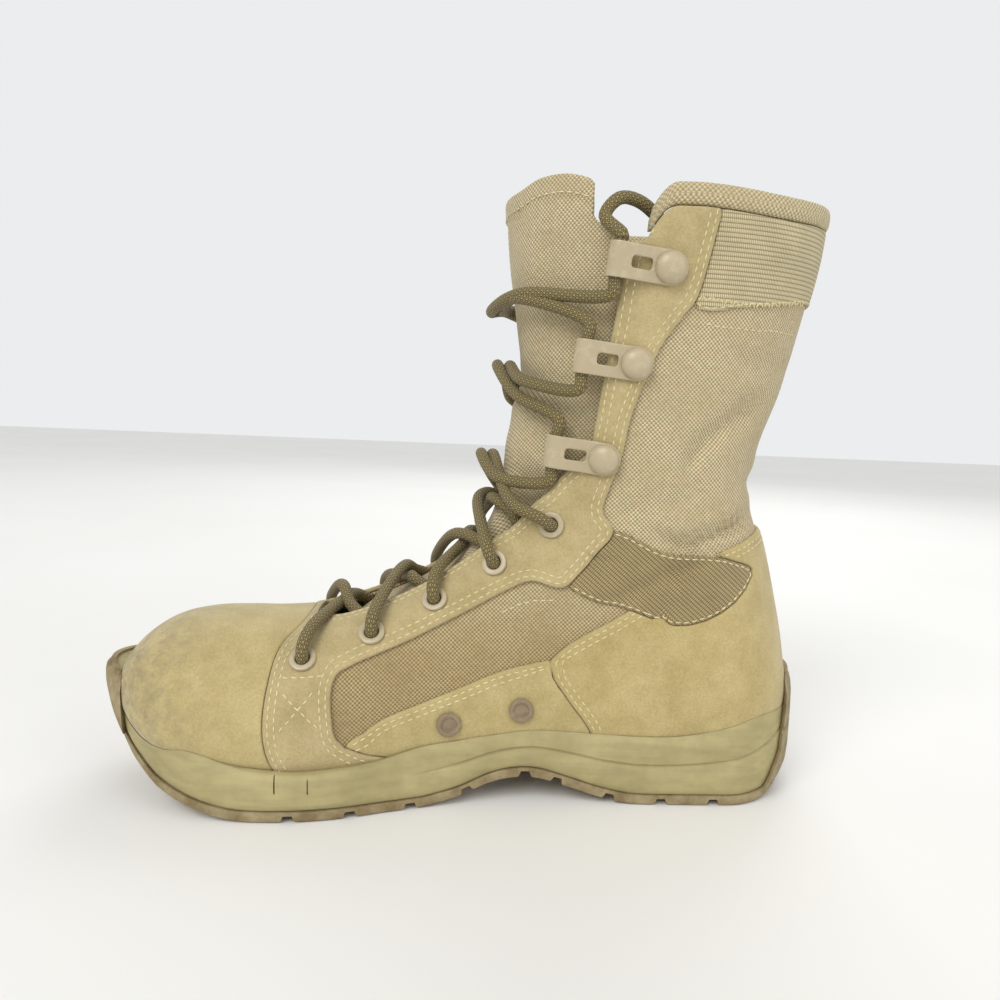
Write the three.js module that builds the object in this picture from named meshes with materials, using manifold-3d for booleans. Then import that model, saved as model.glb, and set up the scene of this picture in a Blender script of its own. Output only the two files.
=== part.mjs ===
// A laced combat boot for the right foot, built as its maker would put it together: a cupped foam midsole
// on a rubber outsole, a hollow upper open at the collar, the throat and underneath, suede overlays, a
// tongue, an insole, eyelets, speed hooks, drainage vents and the crossings of the lace.
// Millimetres. +Z is up, the toe points to -X, and the inner side of the foot is at -Y.
import * as THREE from "three";
import { mergeVertices } from "three/addons/utils/BufferGeometryUtils.js";
import Module from "manifold-3d";

const wasm = await Module();
wasm.setup();

// Driving dimensions
const soleLength = 293;
const ballWidth = 106;
const bootHeight = 252; // the ground to the collar at the back
const fitGap = 0.3; // between curved pieces that meet
const sideShift = 1.72; // brings the middle of the sole's width to Y 0

// Upper
const wall = 2.2; // woven nylon and its lining
const overlayThickness = 1.3; // suede sewn over the wall
const webbingThickness = 1.0;
const rebateDepth = 4; // how far the overlays reach down inside the midsole's rim
const bindingDepth = 9;
const bindingThickness = 1.6;
const tongueThickness = 2.4;
const insoleThickness = 4;

// Sole
const outsoleThickness = 4.4;
const lugDepth = 3;
const lugGap = 4.6;
const foreLugPitch = 23;
const heelLugPitch = 22;
const wrapThickness = 1.8; // rubber that wraps up over the toe and the heel
const rimInset = 2.2; // how far the midsole's lip leans in
const sideGroove = 1.0; // depth of the line along the midsole's side

// Trims
const eyeletDiameter = 10.5;
const eyeletHole = 5.6;
const eyeletFlange = 0.9;
const eyeletBarrel = 0.9; // wall of the barrel
const ventDiameter = 10;
const hookWidth = 13;
const hookReach = 20; // from the rivet to the start of the curl
const hookSheet = 1.2;
const hookCurl = 4; // outer radius of the curl
const hookLift = 3.4; // how far the strip rises towards the curl, to clear the lace
const slotLength = 8.5;
const slotWidth = 4.4;
const rivetCap = 12;
const rivetHeight = 3.6;
const laceDiameter = 5;

const along = (share) => share * soleLength;
const across = (share) => share * ballWidth;
const up = (share) => share * bootHeight;
const clamp01 = (v) => Math.min(1, Math.max(0, v));

// Rows of a table become objects with a name for each column.
function table(columns, rows) {
  return rows.map((row) => Object.fromEntries(columns.map((name, i) => [name, row[i]])));
}

// A smooth curve through one column of a table, by row number.
function columnCurve(rows, column) {
  return (t) => {
    const i = Math.min(rows.length - 2, Math.max(0, Math.floor(t)));
    const f = t - i;
    const p = [i - 1, i, i + 1, i + 2].map((k) => rows[Math.min(rows.length - 1, Math.max(0, k))][column]);
    const square = 2 * p[0] - 5 * p[1] + 4 * p[2] - p[3];
    const cube = 3 * p[1] - p[0] - 3 * p[2] + p[3];
    return 0.5 * (2 * p[1] + (p[2] - p[0]) * f + square * f * f + cube * f * f * f);
  };
}

// All columns of a table as smooth functions of its first one, which rises from row to row.
function tableCurves(rows) {
  const [key, ...others] = Object.keys(rows[0]);
  const curves = Object.fromEntries(others.map((name) => [name, columnCurve(rows, name)]));
  return (x) => {
    let i = 0;
    while (i < rows.length - 2 && x > rows[i + 1][key]) i++;
    const t = i + clamp01((x - rows[i][key]) / (rows[i + 1][key] - rows[i][key]));
    return Object.fromEntries(others.map((name) => [name, curves[name](t)]));
  };
}

// The last, as sections that fan from the toe round the instep and up to the collar. Each lies in the
// plane through its dorsal and its ventral point. X is a share of the sole's length, Z of the boot's
// height and widths of the ball's width. widest says how far down the section its widest place is. The
// two rounds are exponents: 2 is an ellipse, more is squarer.
const sections = table(
  [
    "dorsalX", "dorsalZ", "ventralX", "ventralZ", "middle", "inner", "outer", "widest",
    "topRound", "bottomRound",
  ],
  [
    [-0.472, 0.19, -0.473, 0.165, -0.09, 0.04, 0.04, 0.5, 2, 2], // tip of the toe
    [-0.463, 0.213, -0.465, 0.143, -0.09, 0.165, 0.155, 0.6, 2.2, 2.4],
    [-0.441, 0.242, -0.443, 0.114, -0.08, 0.27, 0.26, 0.66, 2.2, 2.8],
    [-0.409, 0.264, -0.411, 0.089, -0.07, 0.345, 0.335, 0.7, 2.2, 3.2],
    [-0.366, 0.274, -0.369, 0.073, -0.055, 0.4, 0.395, 0.73, 2.2, 3.5],
    [-0.315, 0.275, -0.318, 0.062, -0.04, 0.43, 0.435, 0.75, 2.2, 3.5],
    [-0.258, 0.275, -0.261, 0.057, -0.03, 0.445, 0.455, 0.76, 2.2, 3.5],
    [-0.201, 0.281, -0.206, 0.053, -0.02, 0.44, 0.46, 0.77, 2.4, 3.5], // ball
    [-0.137, 0.305, -0.143, 0.052, -0.01, 0.415, 0.435, 0.76, 2.6, 3.5],
    [-0.071, 0.34, -0.076, 0.052, 0, 0.37, 0.4, 0.73, 2.6, 3.6],
    [-0.013, 0.386, 0.001, 0.057, 0, 0.335, 0.365, 0.69, 2.5, 4],
    [0.026, 0.441, 0.101, 0.063, 0, 0.32, 0.345, 0.65, 2.3, 4.5], // instep
    [0.043, 0.5, 0.216, 0.067, 0, 0.32, 0.34, 0.6, 2.2, 5],
    [0.047, 0.547, 0.336, 0.071, 0, 0.33, 0.345, 0.57, 2.2, 5],
    [0.049, 0.583, 0.436, 0.079, 0, 0.34, 0.345, 0.55, 2.2, 4.2], // foot of the heel
    [0.054, 0.611, 0.483, 0.142, 0, 0.345, 0.35, 0.53, 2.2, 3],
    [0.061, 0.639, 0.48, 0.238, 0, 0.35, 0.355, 0.52, 2.2, 2.4],
    [0.066, 0.667, 0.465, 0.329, 0, 0.355, 0.36, 0.51, 2.2, 2.1],
    [0.064, 0.694, 0.445, 0.413, 0, 0.36, 0.365, 0.5, 2.2, 2.1],
    [0.065, 0.726, 0.421, 0.493, 0, 0.37, 0.37, 0.5, 2.2, 2.1], // ankle
    [0.06, 0.766, 0.427, 0.584, 0, 0.38, 0.38, 0.5, 2.2, 2.1],
    [0.053, 0.817, 0.455, 0.687, 0, 0.39, 0.39, 0.5, 2.2, 2.1],
    [0.045, 0.873, 0.477, 0.798, 0, 0.41, 0.41, 0.5, 2.2, 2.1],
    [0.039, 0.937, 0.495, 0.901, 0, 0.43, 0.43, 0.5, 2.2, 2.1],
    [0.035, 1.01, 0.502, 1.002, 0, 0.445, 0.445, 0.5, 2.2, 2.1], // collar
    [0.034, 1.09, 0.51, 1.102, 0, 0.455, 0.455, 0.5, 2.2, 2.1],
  ],
);
const lastSection = sections.length - 1;
const sectionCurves = Object.keys(sections[0]).map((name) => [name, columnCurve(sections, name)]);

// A point of the last. The turn goes round a section from its dorsal line: positive by the outer side,
// negative by the inner side, and half a turn is the ventral line.
function lastPoint(section, turn) {
  const c = Object.fromEntries(sectionCurves.map(([name, curve]) => [name, curve(section)]));
  const angle = turn * 2 * Math.PI;
  const top = Math.cos(angle) >= 0;
  const power = 2 / (top ? c.topRound : c.bottomRound);
  const level = Math.abs(Math.cos(angle)) ** power;
  const down = top ? c.widest * (1 - level) : c.widest + (1 - c.widest) * level;
  const side = Math.sin(angle);
  const width = Math.sign(side) * Math.abs(side) ** power * (side > 0 ? c.outer : c.inner);
  return new THREE.Vector3(
    along(c.dorsalX + (c.ventralX - c.dorsalX) * down),
    across(c.middle + width) + sideShift,
    up(c.dorsalZ + (c.ventralZ - c.dorsalZ) * down),
  );
}

function lastNormal(section, turn) {
  const sectionStep = 0.02;
  const turnStep = 0.002;
  const ahead = lastPoint(Math.min(lastSection, section + sectionStep), turn);
  const onward = ahead.sub(lastPoint(Math.max(0, section - sectionStep), turn));
  const round = lastPoint(section, turn + turnStep).sub(lastPoint(section, turn - turnStep));
  return onward.cross(round).normalize();
}

const onLast = (section, turn, height) =>
  lastPoint(section, turn).addScaledVector(lastNormal(section, turn), height);

// A geometry as a solid for cutting and joining, and a solid as a geometry.
function solid(geometry) {
  const bare = geometry.clone();
  bare.deleteAttribute("normal");
  bare.deleteAttribute("uv");
  const merged = mergeVertices(bare, 1e-4);
  const vertProperties = new Float32Array(merged.attributes.position.array);
  const triVerts = new Uint32Array(merged.index.array);
  return new wasm.Manifold(new wasm.Mesh({ numProp: 3, vertProperties, triVerts }));
}

function geometryOf(made) {
  const mesh = made.getMesh();
  return new THREE.BufferGeometry()
    .setAttribute("position", new THREE.BufferAttribute(new Float32Array(mesh.vertProperties), 3))
    .setIndex(new THREE.BufferAttribute(new Uint32Array(mesh.triVerts), 1));
}

const joined = (solids) => solids.reduce((whole, next) => whole.add(next));

// A closed solid from rings with the same number of points. Each end is closed by a ladder of triangles
// between the two halves of its ring.
function ringSolid(rings) {
  const count = rings[0].length;
  const last = rings.length - 1;
  const faces = [];
  const at = (ring, i) => ring * count + (i % count);
  for (let r = 0; r < last; r++) {
    for (let i = 0; i < count; i++) {
      faces.push([at(r, i), at(r, i + 1), at(r + 1, i)], [at(r, i + 1), at(r + 1, i + 1), at(r + 1, i)]);
    }
  }
  for (let i = 0; i < count / 2 - 1; i++) {
    const [a, b, c, d] = [i, i + 1, count - 2 - i, count - 1 - i];
    for (const corners of [[a, d, b], [b, d, c]]) {
      if (new Set(corners).size < 3) continue;
      faces.push(corners.map((k) => at(0, k)), corners.map((k) => at(last, k)).reverse());
    }
  }
  const positions = rings.flat().flatMap((p) => [p.x, p.y, p.z]);
  const build = (order) => {
    const geometry = new THREE.BufferGeometry().setIndex(order.flat());
    geometry.setAttribute("position", new THREE.BufferAttribute(new Float32Array(positions), 3));
    return solid(geometry);
  };
  const made = build(faces);
  return made.volume() > 0 ? made : build(faces.map(([a, b, c]) => [a, c, b]));
}

const pointsAround = 24;
const sectionStops = [0, 1, 2, 3.2, 4.6, 6.2, 7.8, 9.4, 10.8, 12, 13, 14, 15, 16.4, 18, 19.4, 21, 22.8, 25];

// The whole last, grown outwards by an amount.
function lastSolid(grow) {
  const ringAt = (section) =>
    Array.from({ length: pointsAround }, (_, k) => onLast(section, (k + 0.5) / pointsAround, grow));
  return ringSolid(sectionStops.map(ringAt));
}

// A slab that follows the last from one section to another, between two heights over its surface.
function lastPatch({ from, to, stops, centre = 0, half, low, high, across: steps = 8 }) {
  const rings = [];
  for (let i = 0; i <= stops; i++) {
    const section = from + ((to - from) * i) / stops;
    const turnAt = (_, k) => centre + half(section) * ((2 * k) / steps - 1);
    const turns = Array.from({ length: steps + 1 }, turnAt);
    const upper = turns.map((turn) => onLast(section, turn, high));
    const lower = turns.map((turn) => onLast(section, turn, low)).reverse();
    rings.push([...upper, ...lower]);
  }
  return ringSolid(rings);
}

// A prism across the boot from an outline in the side view. Its points are shares of length and height.
const farSide = 80;
function sidePrism(outline, { grow = 0, from = -farSide, to = farSide } = {}) {
  const shape = new THREE.Shape(outline.map(([x, z]) => new THREE.Vector2(along(x), up(z))));
  const bevel = { bevelEnabled: grow > 0, bevelThickness: 0.01, bevelSize: grow, bevelSegments: 1 };
  const geometry = new THREE.ExtrudeGeometry(shape, { depth: to - from, curveSegments: 1, ...bevel });
  return solid(geometry.rotateX(Math.PI / 2).translate(0, to, 0));
}

const sides = [
  { name: "inner", sign: -1, span: { from: -farSide, to: -0.2 } },
  { name: "outer", sign: 1, span: { from: 0.2, to: farSide } },
];

// The sole's outline and side view. X is a share of the length, widths are shares of the ball's width
// from the sole's middle line, rim is the midsole's lip and lift the tread, both shares of the height.
const soleAt = tableCurves(
  table(
    ["x", "middle", "inner", "outer", "rim", "lift"],
    [
      [-0.5, -0.085, 0.3, 0.3, 0.2, 0.16],
      [-0.47, -0.082, 0.33, 0.33, 0.19, 0.112],
      [-0.44, -0.078, 0.36, 0.355, 0.172, 0.073],
      [-0.4, -0.07, 0.395, 0.395, 0.144, 0.039],
      [-0.35, -0.058, 0.435, 0.435, 0.108, 0.017],
      [-0.3, -0.047, 0.465, 0.47, 0.086, 0.003],
      [-0.25, -0.037, 0.48, 0.495, 0.077, 0],
      [-0.2, -0.028, 0.48, 0.505, 0.073, 0],
      [-0.15, -0.02, 0.46, 0.5, 0.078, 0],
      [-0.1, -0.01, 0.425, 0.48, 0.085, 0],
      [-0.05, 0, 0.395, 0.455, 0.099, 0.001],
      [0, 0, 0.37, 0.43, 0.106, 0.014],
      [0.05, 0, 0.352, 0.41, 0.116, 0.037],
      [0.1, 0, 0.345, 0.395, 0.124, 0.043],
      [0.15, 0, 0.343, 0.382, 0.122, 0.028],
      [0.2, 0, 0.345, 0.372, 0.116, 0.01],
      [0.25, 0, 0.35, 0.367, 0.113, 0],
      [0.3, 0, 0.352, 0.362, 0.114, 0],
      [0.35, 0, 0.352, 0.358, 0.123, 0],
      [0.4, 0, 0.35, 0.353, 0.142, 0],
      [0.45, 0, 0.345, 0.346, 0.178, 0.009],
      [0.5, 0, 0.34, 0.34, 0.205, 0.04],
    ],
  ),
);
const treadHeight = (c) => up(Math.max(0, c.lift));
const toeRound = 0.17; // share of the length over which the toe rounds off
const heelRound = 0.12;
const soleStops = 20;

function soleEdge(angle) {
  const x = -0.5 * Math.cos(angle);
  const c = soleAt(x);
  const toe = 1 - (1 - clamp01((x + 0.5) / toeRound)) ** 2;
  const heel = 1 - (1 - clamp01((0.5 - x) / heelRound)) ** 2;
  const side = Math.sin(angle) >= 0 ? c.outer : -c.inner;
  return new THREE.Vector2(along(x), across(c.middle + side * Math.sqrt(toe * heel)) + sideShift);
}

// One ring of the sole's side: the outline moved out by an amount, at a height that depends on the station.
function soleRing(growAt, heightAt) {
  const ring = [];
  const count = 2 * soleStops;
  for (let i = 0; i < count; i++) {
    const angle = ((i + 0.5) / count) * 2 * Math.PI;
    const step = 0.01;
    const tangent = soleEdge(angle + step).sub(soleEdge(angle - step)).normalize();
    const edge = soleEdge(angle);
    const station = soleAt(edge.x / soleLength);
    const grow = typeof growAt === "number" ? growAt : growAt(edge.x);
    const [x, y] = [edge.x - tangent.y * grow, edge.y + tangent.x * grow];
    ring.push(new THREE.Vector3(x, y, heightAt(station, edge.x)));
  }
  return ring;
}

// The midsole's block before the upper's seat is cut out of it. The side bulges, carries a line along
// its heel half, and leans in at the lip.
const lineFrom = -0.06; // share of the length where the side's line starts
const lineRamp = 0.06;
function midsoleBlock(grow, foot, headroom = 0) {
  const bottom = (c) => treadHeight(c) + foot;
  const part = (share) => (c) => bottom(c) + (up(c.rim) - bottom(c)) * share;
  const ramp = (x) => clamp01((x - along(lineFrom)) / along(lineRamp));
  const line = (drop) => (c, x) => part(0.5)(c) + drop * (0.3 + 1.1 * ramp(x));
  return ringSolid([
    soleRing(grow - 1, bottom),
    soleRing(grow, part(0.22)),
    soleRing(grow, line(-1)),
    soleRing((x) => grow - sideGroove * ramp(x), line(0)),
    soleRing(grow, line(1)),
    soleRing(grow - rimInset * 0.4, part(0.9)),
    soleRing(grow - rimInset, part(1)),
    ...(headroom > 0 ? [soleRing(grow - rimInset, (c) => up(c.rim) + headroom)] : []),
  ]);
}

// Everything below or above the lip of the midsole, lowered by an amount.
function rimPrism(drop, above) {
  const line = Array.from({ length: 25 }, (_, i) => -0.52 + i * 0.0435);
  const points = line.map((x) => [x, soleAt(x).rim - drop / bootHeight]);
  const edge = above ? 1.3 : -0.3;
  return sidePrism([...points, [0.55, edge], [-0.55, edge]]);
}

// Outsole: a thin sheet with lugs, and a wrap up over the toe and the heel.
const toeWrap = [[-0.452, 0.3], [-0.462, 0.2], [-0.453, 0.1], [-0.425, 0.05], [-0.38, 0]];
const heelWrap = [[0.47, 0.3], [0.476, 0.17], [0.468, 0.08], [0.43, 0]];

// A groove across the tread, wider at its mouth, square to the tread where it lies.
function treadGroove(x, from, to) {
  const slope = Math.atan2(up(soleAt(x + 0.01).lift - soleAt(x - 0.01).lift), along(0.02));
  const mouth = lugGap / 2 + 0.8;
  const shape = new THREE.Shape([
    new THREE.Vector2(-mouth - 1, -3),
    new THREE.Vector2(mouth + 1, -3),
    new THREE.Vector2(lugGap / 2 - 0.6, lugDepth),
    new THREE.Vector2(-lugGap / 2 + 0.6, lugDepth),
  ]);
  const bar = new THREE.ExtrudeGeometry(shape, { depth: across(to - from), bevelEnabled: false });
  bar.rotateX(Math.PI / 2).translate(0, across(to), 0).rotateY(-slope);
  return solid(bar.translate(along(x), 0, treadHeight(soleAt(x))));
}

const overlaySeat = lastSolid(overlayThickness + 2 * fitGap);
function makeOutsole() {
  const top = (c) => treadHeight(c) + outsoleThickness;
  const sheet = ringSolid([
    soleRing(-1.6, treadHeight),
    soleRing(-0.2, (c) => treadHeight(c) + 1.4),
    soleRing(0, top),
  ]);
  const wrap = midsoleBlock(fitGap + wrapThickness, 1.4);
  const fronts = sidePrism([...toeWrap, [-0.6, 0], [-0.6, 0.3]]);
  const backs = sidePrism([...heelWrap, [0.6, 0], [0.6, 0.3]]);
  let made = sheet.add(wrap.intersect(fronts.add(backs)));
  for (const [grow, lower] of [[0, fitGap / 2], [fitGap / 2, fitGap / 2], [fitGap, fitGap]]) {
    const foot = outsoleThickness + fitGap - lower;
    made = made.subtract(midsoleBlock(grow, foot, 3 * overlayThickness));
  }
  made = made.subtract(overlaySeat);
  const foreGrooves = [-1, 0, 1, 2, 3, 4].map((i) => -0.222 + (i * foreLugPitch) / soleLength);
  const heelGrooves = [0, 1, 2, 3].map((i) => 0.136 + (i * heelLugPitch) / soleLength);
  const cuts = [...foreGrooves, ...heelGrooves].flatMap((x, i) => [
    i === 0 ? treadGroove(x, -0.25, 0.25) : treadGroove(x, -0.7, -0.19),
    treadGroove(x + (0.5 * foreLugPitch) / soleLength, -0.14, 0.14),
    i === 0 ? treadGroove(x - foreLugPitch / soleLength, -0.2, 0.2) : treadGroove(x, 0.19, 0.7),
  ]);
  return made.subtract(joined(cuts));
}

// Midsole: the block less the seat of the upper, which is wider near the lip, where the overlays go down.
function makeMidsole() {
  const seat = lastSolid(fitGap);
  const wideSeat = overlaySeat.intersect(rimPrism(rebateDepth, true));
  return midsoleBlock(0, outsoleThickness + fitGap).subtract(seat.add(wideSeat));
}

// A solid less all of its cutters.
const cutBy = (whole, cutters) => cutters.reduce((rest, cutter) => rest.subtract(cutter), whole);

// Half the width of the throat, in turns, by section.
const throatAt = tableCurves(
  table(
    ["section", "half"],
    [
      [6.9, 0.03],
      [7.5, 0.048],
      [8.8, 0.056],
      [9.8, 0.062],
      [10.9, 0.08],
      [12, 0.11],
      [13.6, 0.124],
      [15.2, 0.138],
      [16.8, 0.166],
      [19, 0.188],
      [20.8, 0.196],
      [22.4, 0.202],
      [23.2, 0.218],
      [25, 0.23],
    ],
  ),
);
const throatFrom = 6.9;
const throatHalf = (section) => throatAt(section).half;

const throatCut = lastPatch({
  from: throatFrom, to: lastSection, stops: 14, half: throatHalf, low: -10, high: 14, across: 4,
});

// The collar's line in the side view, from the front corner to the back.
const collarLine = [[0.212, 0.929], [0.228, 0.963], [0.248, 0.98], [0.41, 0.976], [0.54, 0.99]];
const lowered = (line, drop) => line.map(([x, z]) => [x, z - drop / bootHeight]);
const aboveLine = (line) => sidePrism([...line, [0.6, 1.3], [-0.6, 1.3], [-0.6, line[0][1]]]);
const aboveCollar = aboveLine(collarLine);
const aboveBinding = aboveLine(lowered(collarLine, bindingDepth));
const aboveBindingGap = aboveLine(lowered(collarLine, bindingDepth + fitGap));

// Places of the trims: section and turn on the last.
const eyelets = table(
  ["section", "turn"],
  [[6.8, 0.129], [8.2, 0.118], [9.5, 0.11], [11.1, 0.122], [13.3, 0.149]],
);
const hooks = table(["section", "turn"], [[16.9, 0.184], [20.3, 0.225], [22.2, 0.24]]);
const vents = table(["section", "turn"], [[9.8, 0.256], [11, 0.26]]);
const trimGap = 0.9; // under a flat flange on the curved overlay
const trimSeat = overlayThickness + fitGap + trimGap;
const throughDepth = trimSeat + wall;

// A frame on the last: Z is the outward normal, X points forwards along the surface.
const hookRise = 0.1;
function trimFrame({ section, turn }, sign) {
  const normal = lastNormal(section, sign * turn);
  const forward = new THREE.Vector3(-1, 0, hookRise);
  forward.addScaledVector(normal, -forward.dot(normal)).normalize();
  const sideways = normal.clone().cross(forward);
  const frame = new THREE.Matrix4().makeBasis(forward, sideways, normal);
  return frame.setPosition(onLast(section, sign * turn, trimSeat));
}

const trimSegments = 8;
function lathed(profile, segments = trimSegments) {
  const points = profile.map(([r, z]) => new THREE.Vector2(r, z));
  return new THREE.LatheGeometry(points, segments).rotateX(Math.PI / 2);
}
const pin = (diameter, low, high) =>
  lathed([[0, low], [diameter / 2, low], [diameter / 2, high], [0, high]], 8);

const barrelDiameter = eyeletHole + 2 * eyeletBarrel;
const drill = (place, sign, diameter) =>
  solid(pin(diameter + 2 * fitGap, -throughDepth - 3, 3).applyMatrix4(trimFrame(place, sign)));

const drills = joined(
  sides.flatMap(({ sign }) => [
    ...eyelets.map((place) => drill(place, sign, barrelDiameter)),
    ...(sign < 0 ? vents.map((place) => drill(place, sign, barrelDiameter)) : []),
  ]),
);

// Upper: one hollow wall, open at the collar, the throat and underneath.
const underHalf = 0.085; // half the width of the opening underneath, in turns
const underCut = lastPatch({
  from: 2.5, to: 13.6, stops: 6, centre: 0.5, half: () => underHalf, low: -6, high: 6, across: 2,
});

function makeUpper() {
  const shell = lastSolid(0).subtract(lastSolid(-wall));
  return cutBy(shell, [throatCut, underCut, aboveBindingGap, drills]);
}

// Overlays: each is a part of one of two shells over the wall, cut by its outline in the side view.
const suedeShell = lastSolid(fitGap + overlayThickness).subtract(lastSolid(fitGap));
const webbingShell = lastSolid(fitGap + webbingThickness).subtract(lastSolid(fitGap));
const belowRebate = rimPrism(rebateDepth - fitGap, false);

const wingFront = [
  [-0.2, 0.32], [-0.222, 0.275], [-0.247, 0.246], [-0.256, 0.2], [-0.258, 0.144], [-0.252, 0.102],
  [-0.236, 0.066], [-0.22, 0.04],
];
const wingRear = [
  [-0.07, 0.06], [-0.099, 0.083], [-0.13, 0.095], [-0.164, 0.12], [-0.172, 0.16], [-0.173, 0.2],
];
const eyestayLow = [
  [-0.163, 0.221], [-0.072, 0.266], [0.004, 0.311], [0.059, 0.347], [0.092, 0.364], [0.132, 0.356],
  [0.157, 0.383], [0.179, 0.417], [0.198, 0.451], [0.183, 0.482], [0.189, 0.515], [0.203, 0.573],
  [0.211, 0.636], [0.239, 0.733], [0.265, 0.783], [0.283, 0.814], [0.295, 0.874], [0.306, 0.96],
];
const eyestayOutline = [
  ...wingRear, ...eyestayLow, [0.306, 1.2], [-0.15, 1.2], [-0.18, 0.4], ...wingFront, [-0.08, 0.02],
];

const vampOutline = [
  [-0.6, -0.1], [-0.23, -0.1], ...[...wingFront].reverse(), [-0.18, 0.4], [-0.15, 0.6], [-0.6, 0.6],
];

const randTop = [
  [-0.172, 0.1], [-0.135, 0.124], [-0.109, 0.145], [-0.057, 0.167], [-0.003, 0.191], [0.048, 0.216],
  [0.09, 0.23], [0.15, 0.243],
];
const randOutline = [[-0.172, 0], ...randTop, [0.22, 0.24], [0.22, 0]];

const counterFront = [
  [0.188, 0.09], [0.181, 0.122], [0.147, 0.175], [0.12, 0.222], [0.122, 0.238], [0.15, 0.268],
  [0.214, 0.315],
];
const counterOutline = [
  [0.2, 0], ...counterFront, [0.3, 0.39], [0.333, 0.416], [0.38, 0.436], [0.424, 0.452],
  [0.6, 0.462], [0.6, 0],
];

const strapOutline = [
  [0.13, 0.375], [0.177, 0.337], [0.213, 0.33], [0.312, 0.305], [0.402, 0.383], [0.36, 0.411],
  [0.333, 0.416], [0.268, 0.421], [0.2, 0.453], [0.155, 0.44],
];

const cuffOutline = [[0.275, 0.812], [0.364, 0.808], [0.468, 0.827], [0.6, 0.835], [0.6, 1.2], [0.275, 1.2]];

function overlay(outline, { shell = suedeShell, span, less = [] } = {}) {
  const cutters = [belowRebate, throatCut, aboveBindingGap, drills, ...less];
  return cutBy(shell.intersect(sidePrism(outline, span)), cutters);
}
const grown = (outline, span) => sidePrism(outline, { ...span, grow: fitGap });

// Binding: a padded roll of webbing on the collar's edge.
function makeBinding() {
  const roll = lastSolid(fitGap + bindingThickness).subtract(lastSolid(-wall - fitGap - bindingThickness));
  return cutBy(roll.intersect(aboveBinding), [aboveCollar, throatCut]);
}

// Tongue: a padded sheet under the throat, wider than it and rounded off at the top.
const tongueTop = [[-0.2, 0.98], [0.045, 0.98], [0.075, 0.992], [0.115, 0.992], [0.16, 0.97], [0.21, 0.92]];
function makeTongue() {
  const tuck = 0.05;
  const narrowing = (section) => 0.085 * clamp01((section - 21.8) / 1.2);
  const half = (section) => throatHalf(Math.min(section, 22)) + tuck - narrowing(section);
  const strip = lastPatch({
    from: throatFrom - 0.6, to: lastSection, stops: 9, half, low: -12, high: 6, across: 4,
  });
  const inside = -wall - fitGap;
  const sheet = lastSolid(inside).subtract(lastSolid(inside - tongueThickness)).intersect(strip);
  return sheet.subtract(sidePrism([...tongueTop, [0.4, 0.92], [0.4, 1.3], [-0.2, 1.3]]));
}

// Insole: the foot of the last's inside, up to a line over its ventral points.
function makeInsole() {
  const rise = (wall + fitGap + insoleThickness) / bootHeight;
  const line = sections.slice(1, 15).map((c) => [c.ventralX, c.ventralZ + rise]);
  const outline = [[-0.55, line[0][1]], ...line, [0.55, line.at(-1)[1]], [0.55, -0.1], [-0.55, -0.1]];
  return lastSolid(-wall - fitGap).intersect(sidePrism(outline));
}

// Eyelet and vent: a flange with a barrel through the overlay and the wall.
function makeEyelet() {
  const [hole, barrel, rim] = [eyeletHole / 2, barrelDiameter / 2, eyeletDiameter / 2];
  const bottom = -throughDepth + 2 * fitGap;
  return lathed([[hole, bottom], [barrel, bottom], [barrel, 0], [rim, 0], [rim - 0.5, eyeletFlange],
    [hole, eyeletFlange], [hole, bottom]]);
}
function makeVent() {
  const [rim, barrel] = [ventDiameter / 2, barrelDiameter / 2];
  const bottom = -throughDepth + 2 * fitGap;
  return lathed([[0, bottom], [barrel, bottom], [barrel, 0], [rim, 0], [rim - 0.4, eyeletFlange],
    [rim * 0.72, eyeletFlange], [rim * 0.66, eyeletFlange * 0.4], [0, eyeletFlange * 0.4]], trimSegments);
}

// Speed hook: a bent strip with a slot, held by a rivet with a domed cap.
function makeHook() {
  const centre = new THREE.Vector2(hookReach, hookLift + hookSheet - hookCurl);
  const arc = (radius, start, end) =>
    new THREE.EllipseCurve(centre.x, centre.y, radius, radius, start, end, start > end).getPoints(4);
  const tail = -hookWidth / 2;
  const curlEnd = -Math.PI * 0.4;
  const profile = new THREE.Shape([
    new THREE.Vector2(rivetCap / 2, 0),
    new THREE.Vector2(tail, 0),
    new THREE.Vector2(tail, hookSheet),
    new THREE.Vector2(rivetCap / 2, hookSheet),
    ...arc(hookCurl, Math.PI / 2, curlEnd),
    ...arc(hookCurl - hookSheet, curlEnd, Math.PI / 2),
  ]);
  const strip = new THREE.ExtrudeGeometry(profile, { depth: hookWidth, bevelEnabled: false });
  strip.rotateX(Math.PI / 2).translate(0, hookWidth / 2, 0);
  const plan = new THREE.Shape();
  plan.absarc(0, 0, hookWidth / 2, Math.PI / 2, (3 * Math.PI) / 2, false);
  plan.lineTo(hookReach + 2 * hookCurl, -hookWidth / 2);
  plan.lineTo(hookReach + 2 * hookCurl, hookWidth / 2);
  const rounded = new THREE.ExtrudeGeometry(plan, { depth: 30, bevelEnabled: false, curveSegments: 4 });
  const slot = new THREE.BoxGeometry(slotLength, slotWidth, 4 * hookCurl);
  slot.translate(rivetCap / 2 + 1.2 + slotLength / 2, 0, 0);
  const strap = solid(strip).intersect(solid(rounded.translate(0, 0, -15)));
  return geometryOf(strap.subtract(solid(slot)));
}
function makeRivet() {
  const seat = hookSheet + fitGap;
  const cap = rivetCap / 2;
  const dome = [1, 2].map((i) => (i * Math.PI) / 6);
  return lathed([[0, seat], [cap, seat], [cap, seat + 0.4],
    ...dome.map((a) => [cap * Math.cos(a), seat + 0.4 + (rivetHeight - 0.4) * Math.sin(a)]),
    [0, seat + rivetHeight]]);
}

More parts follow.
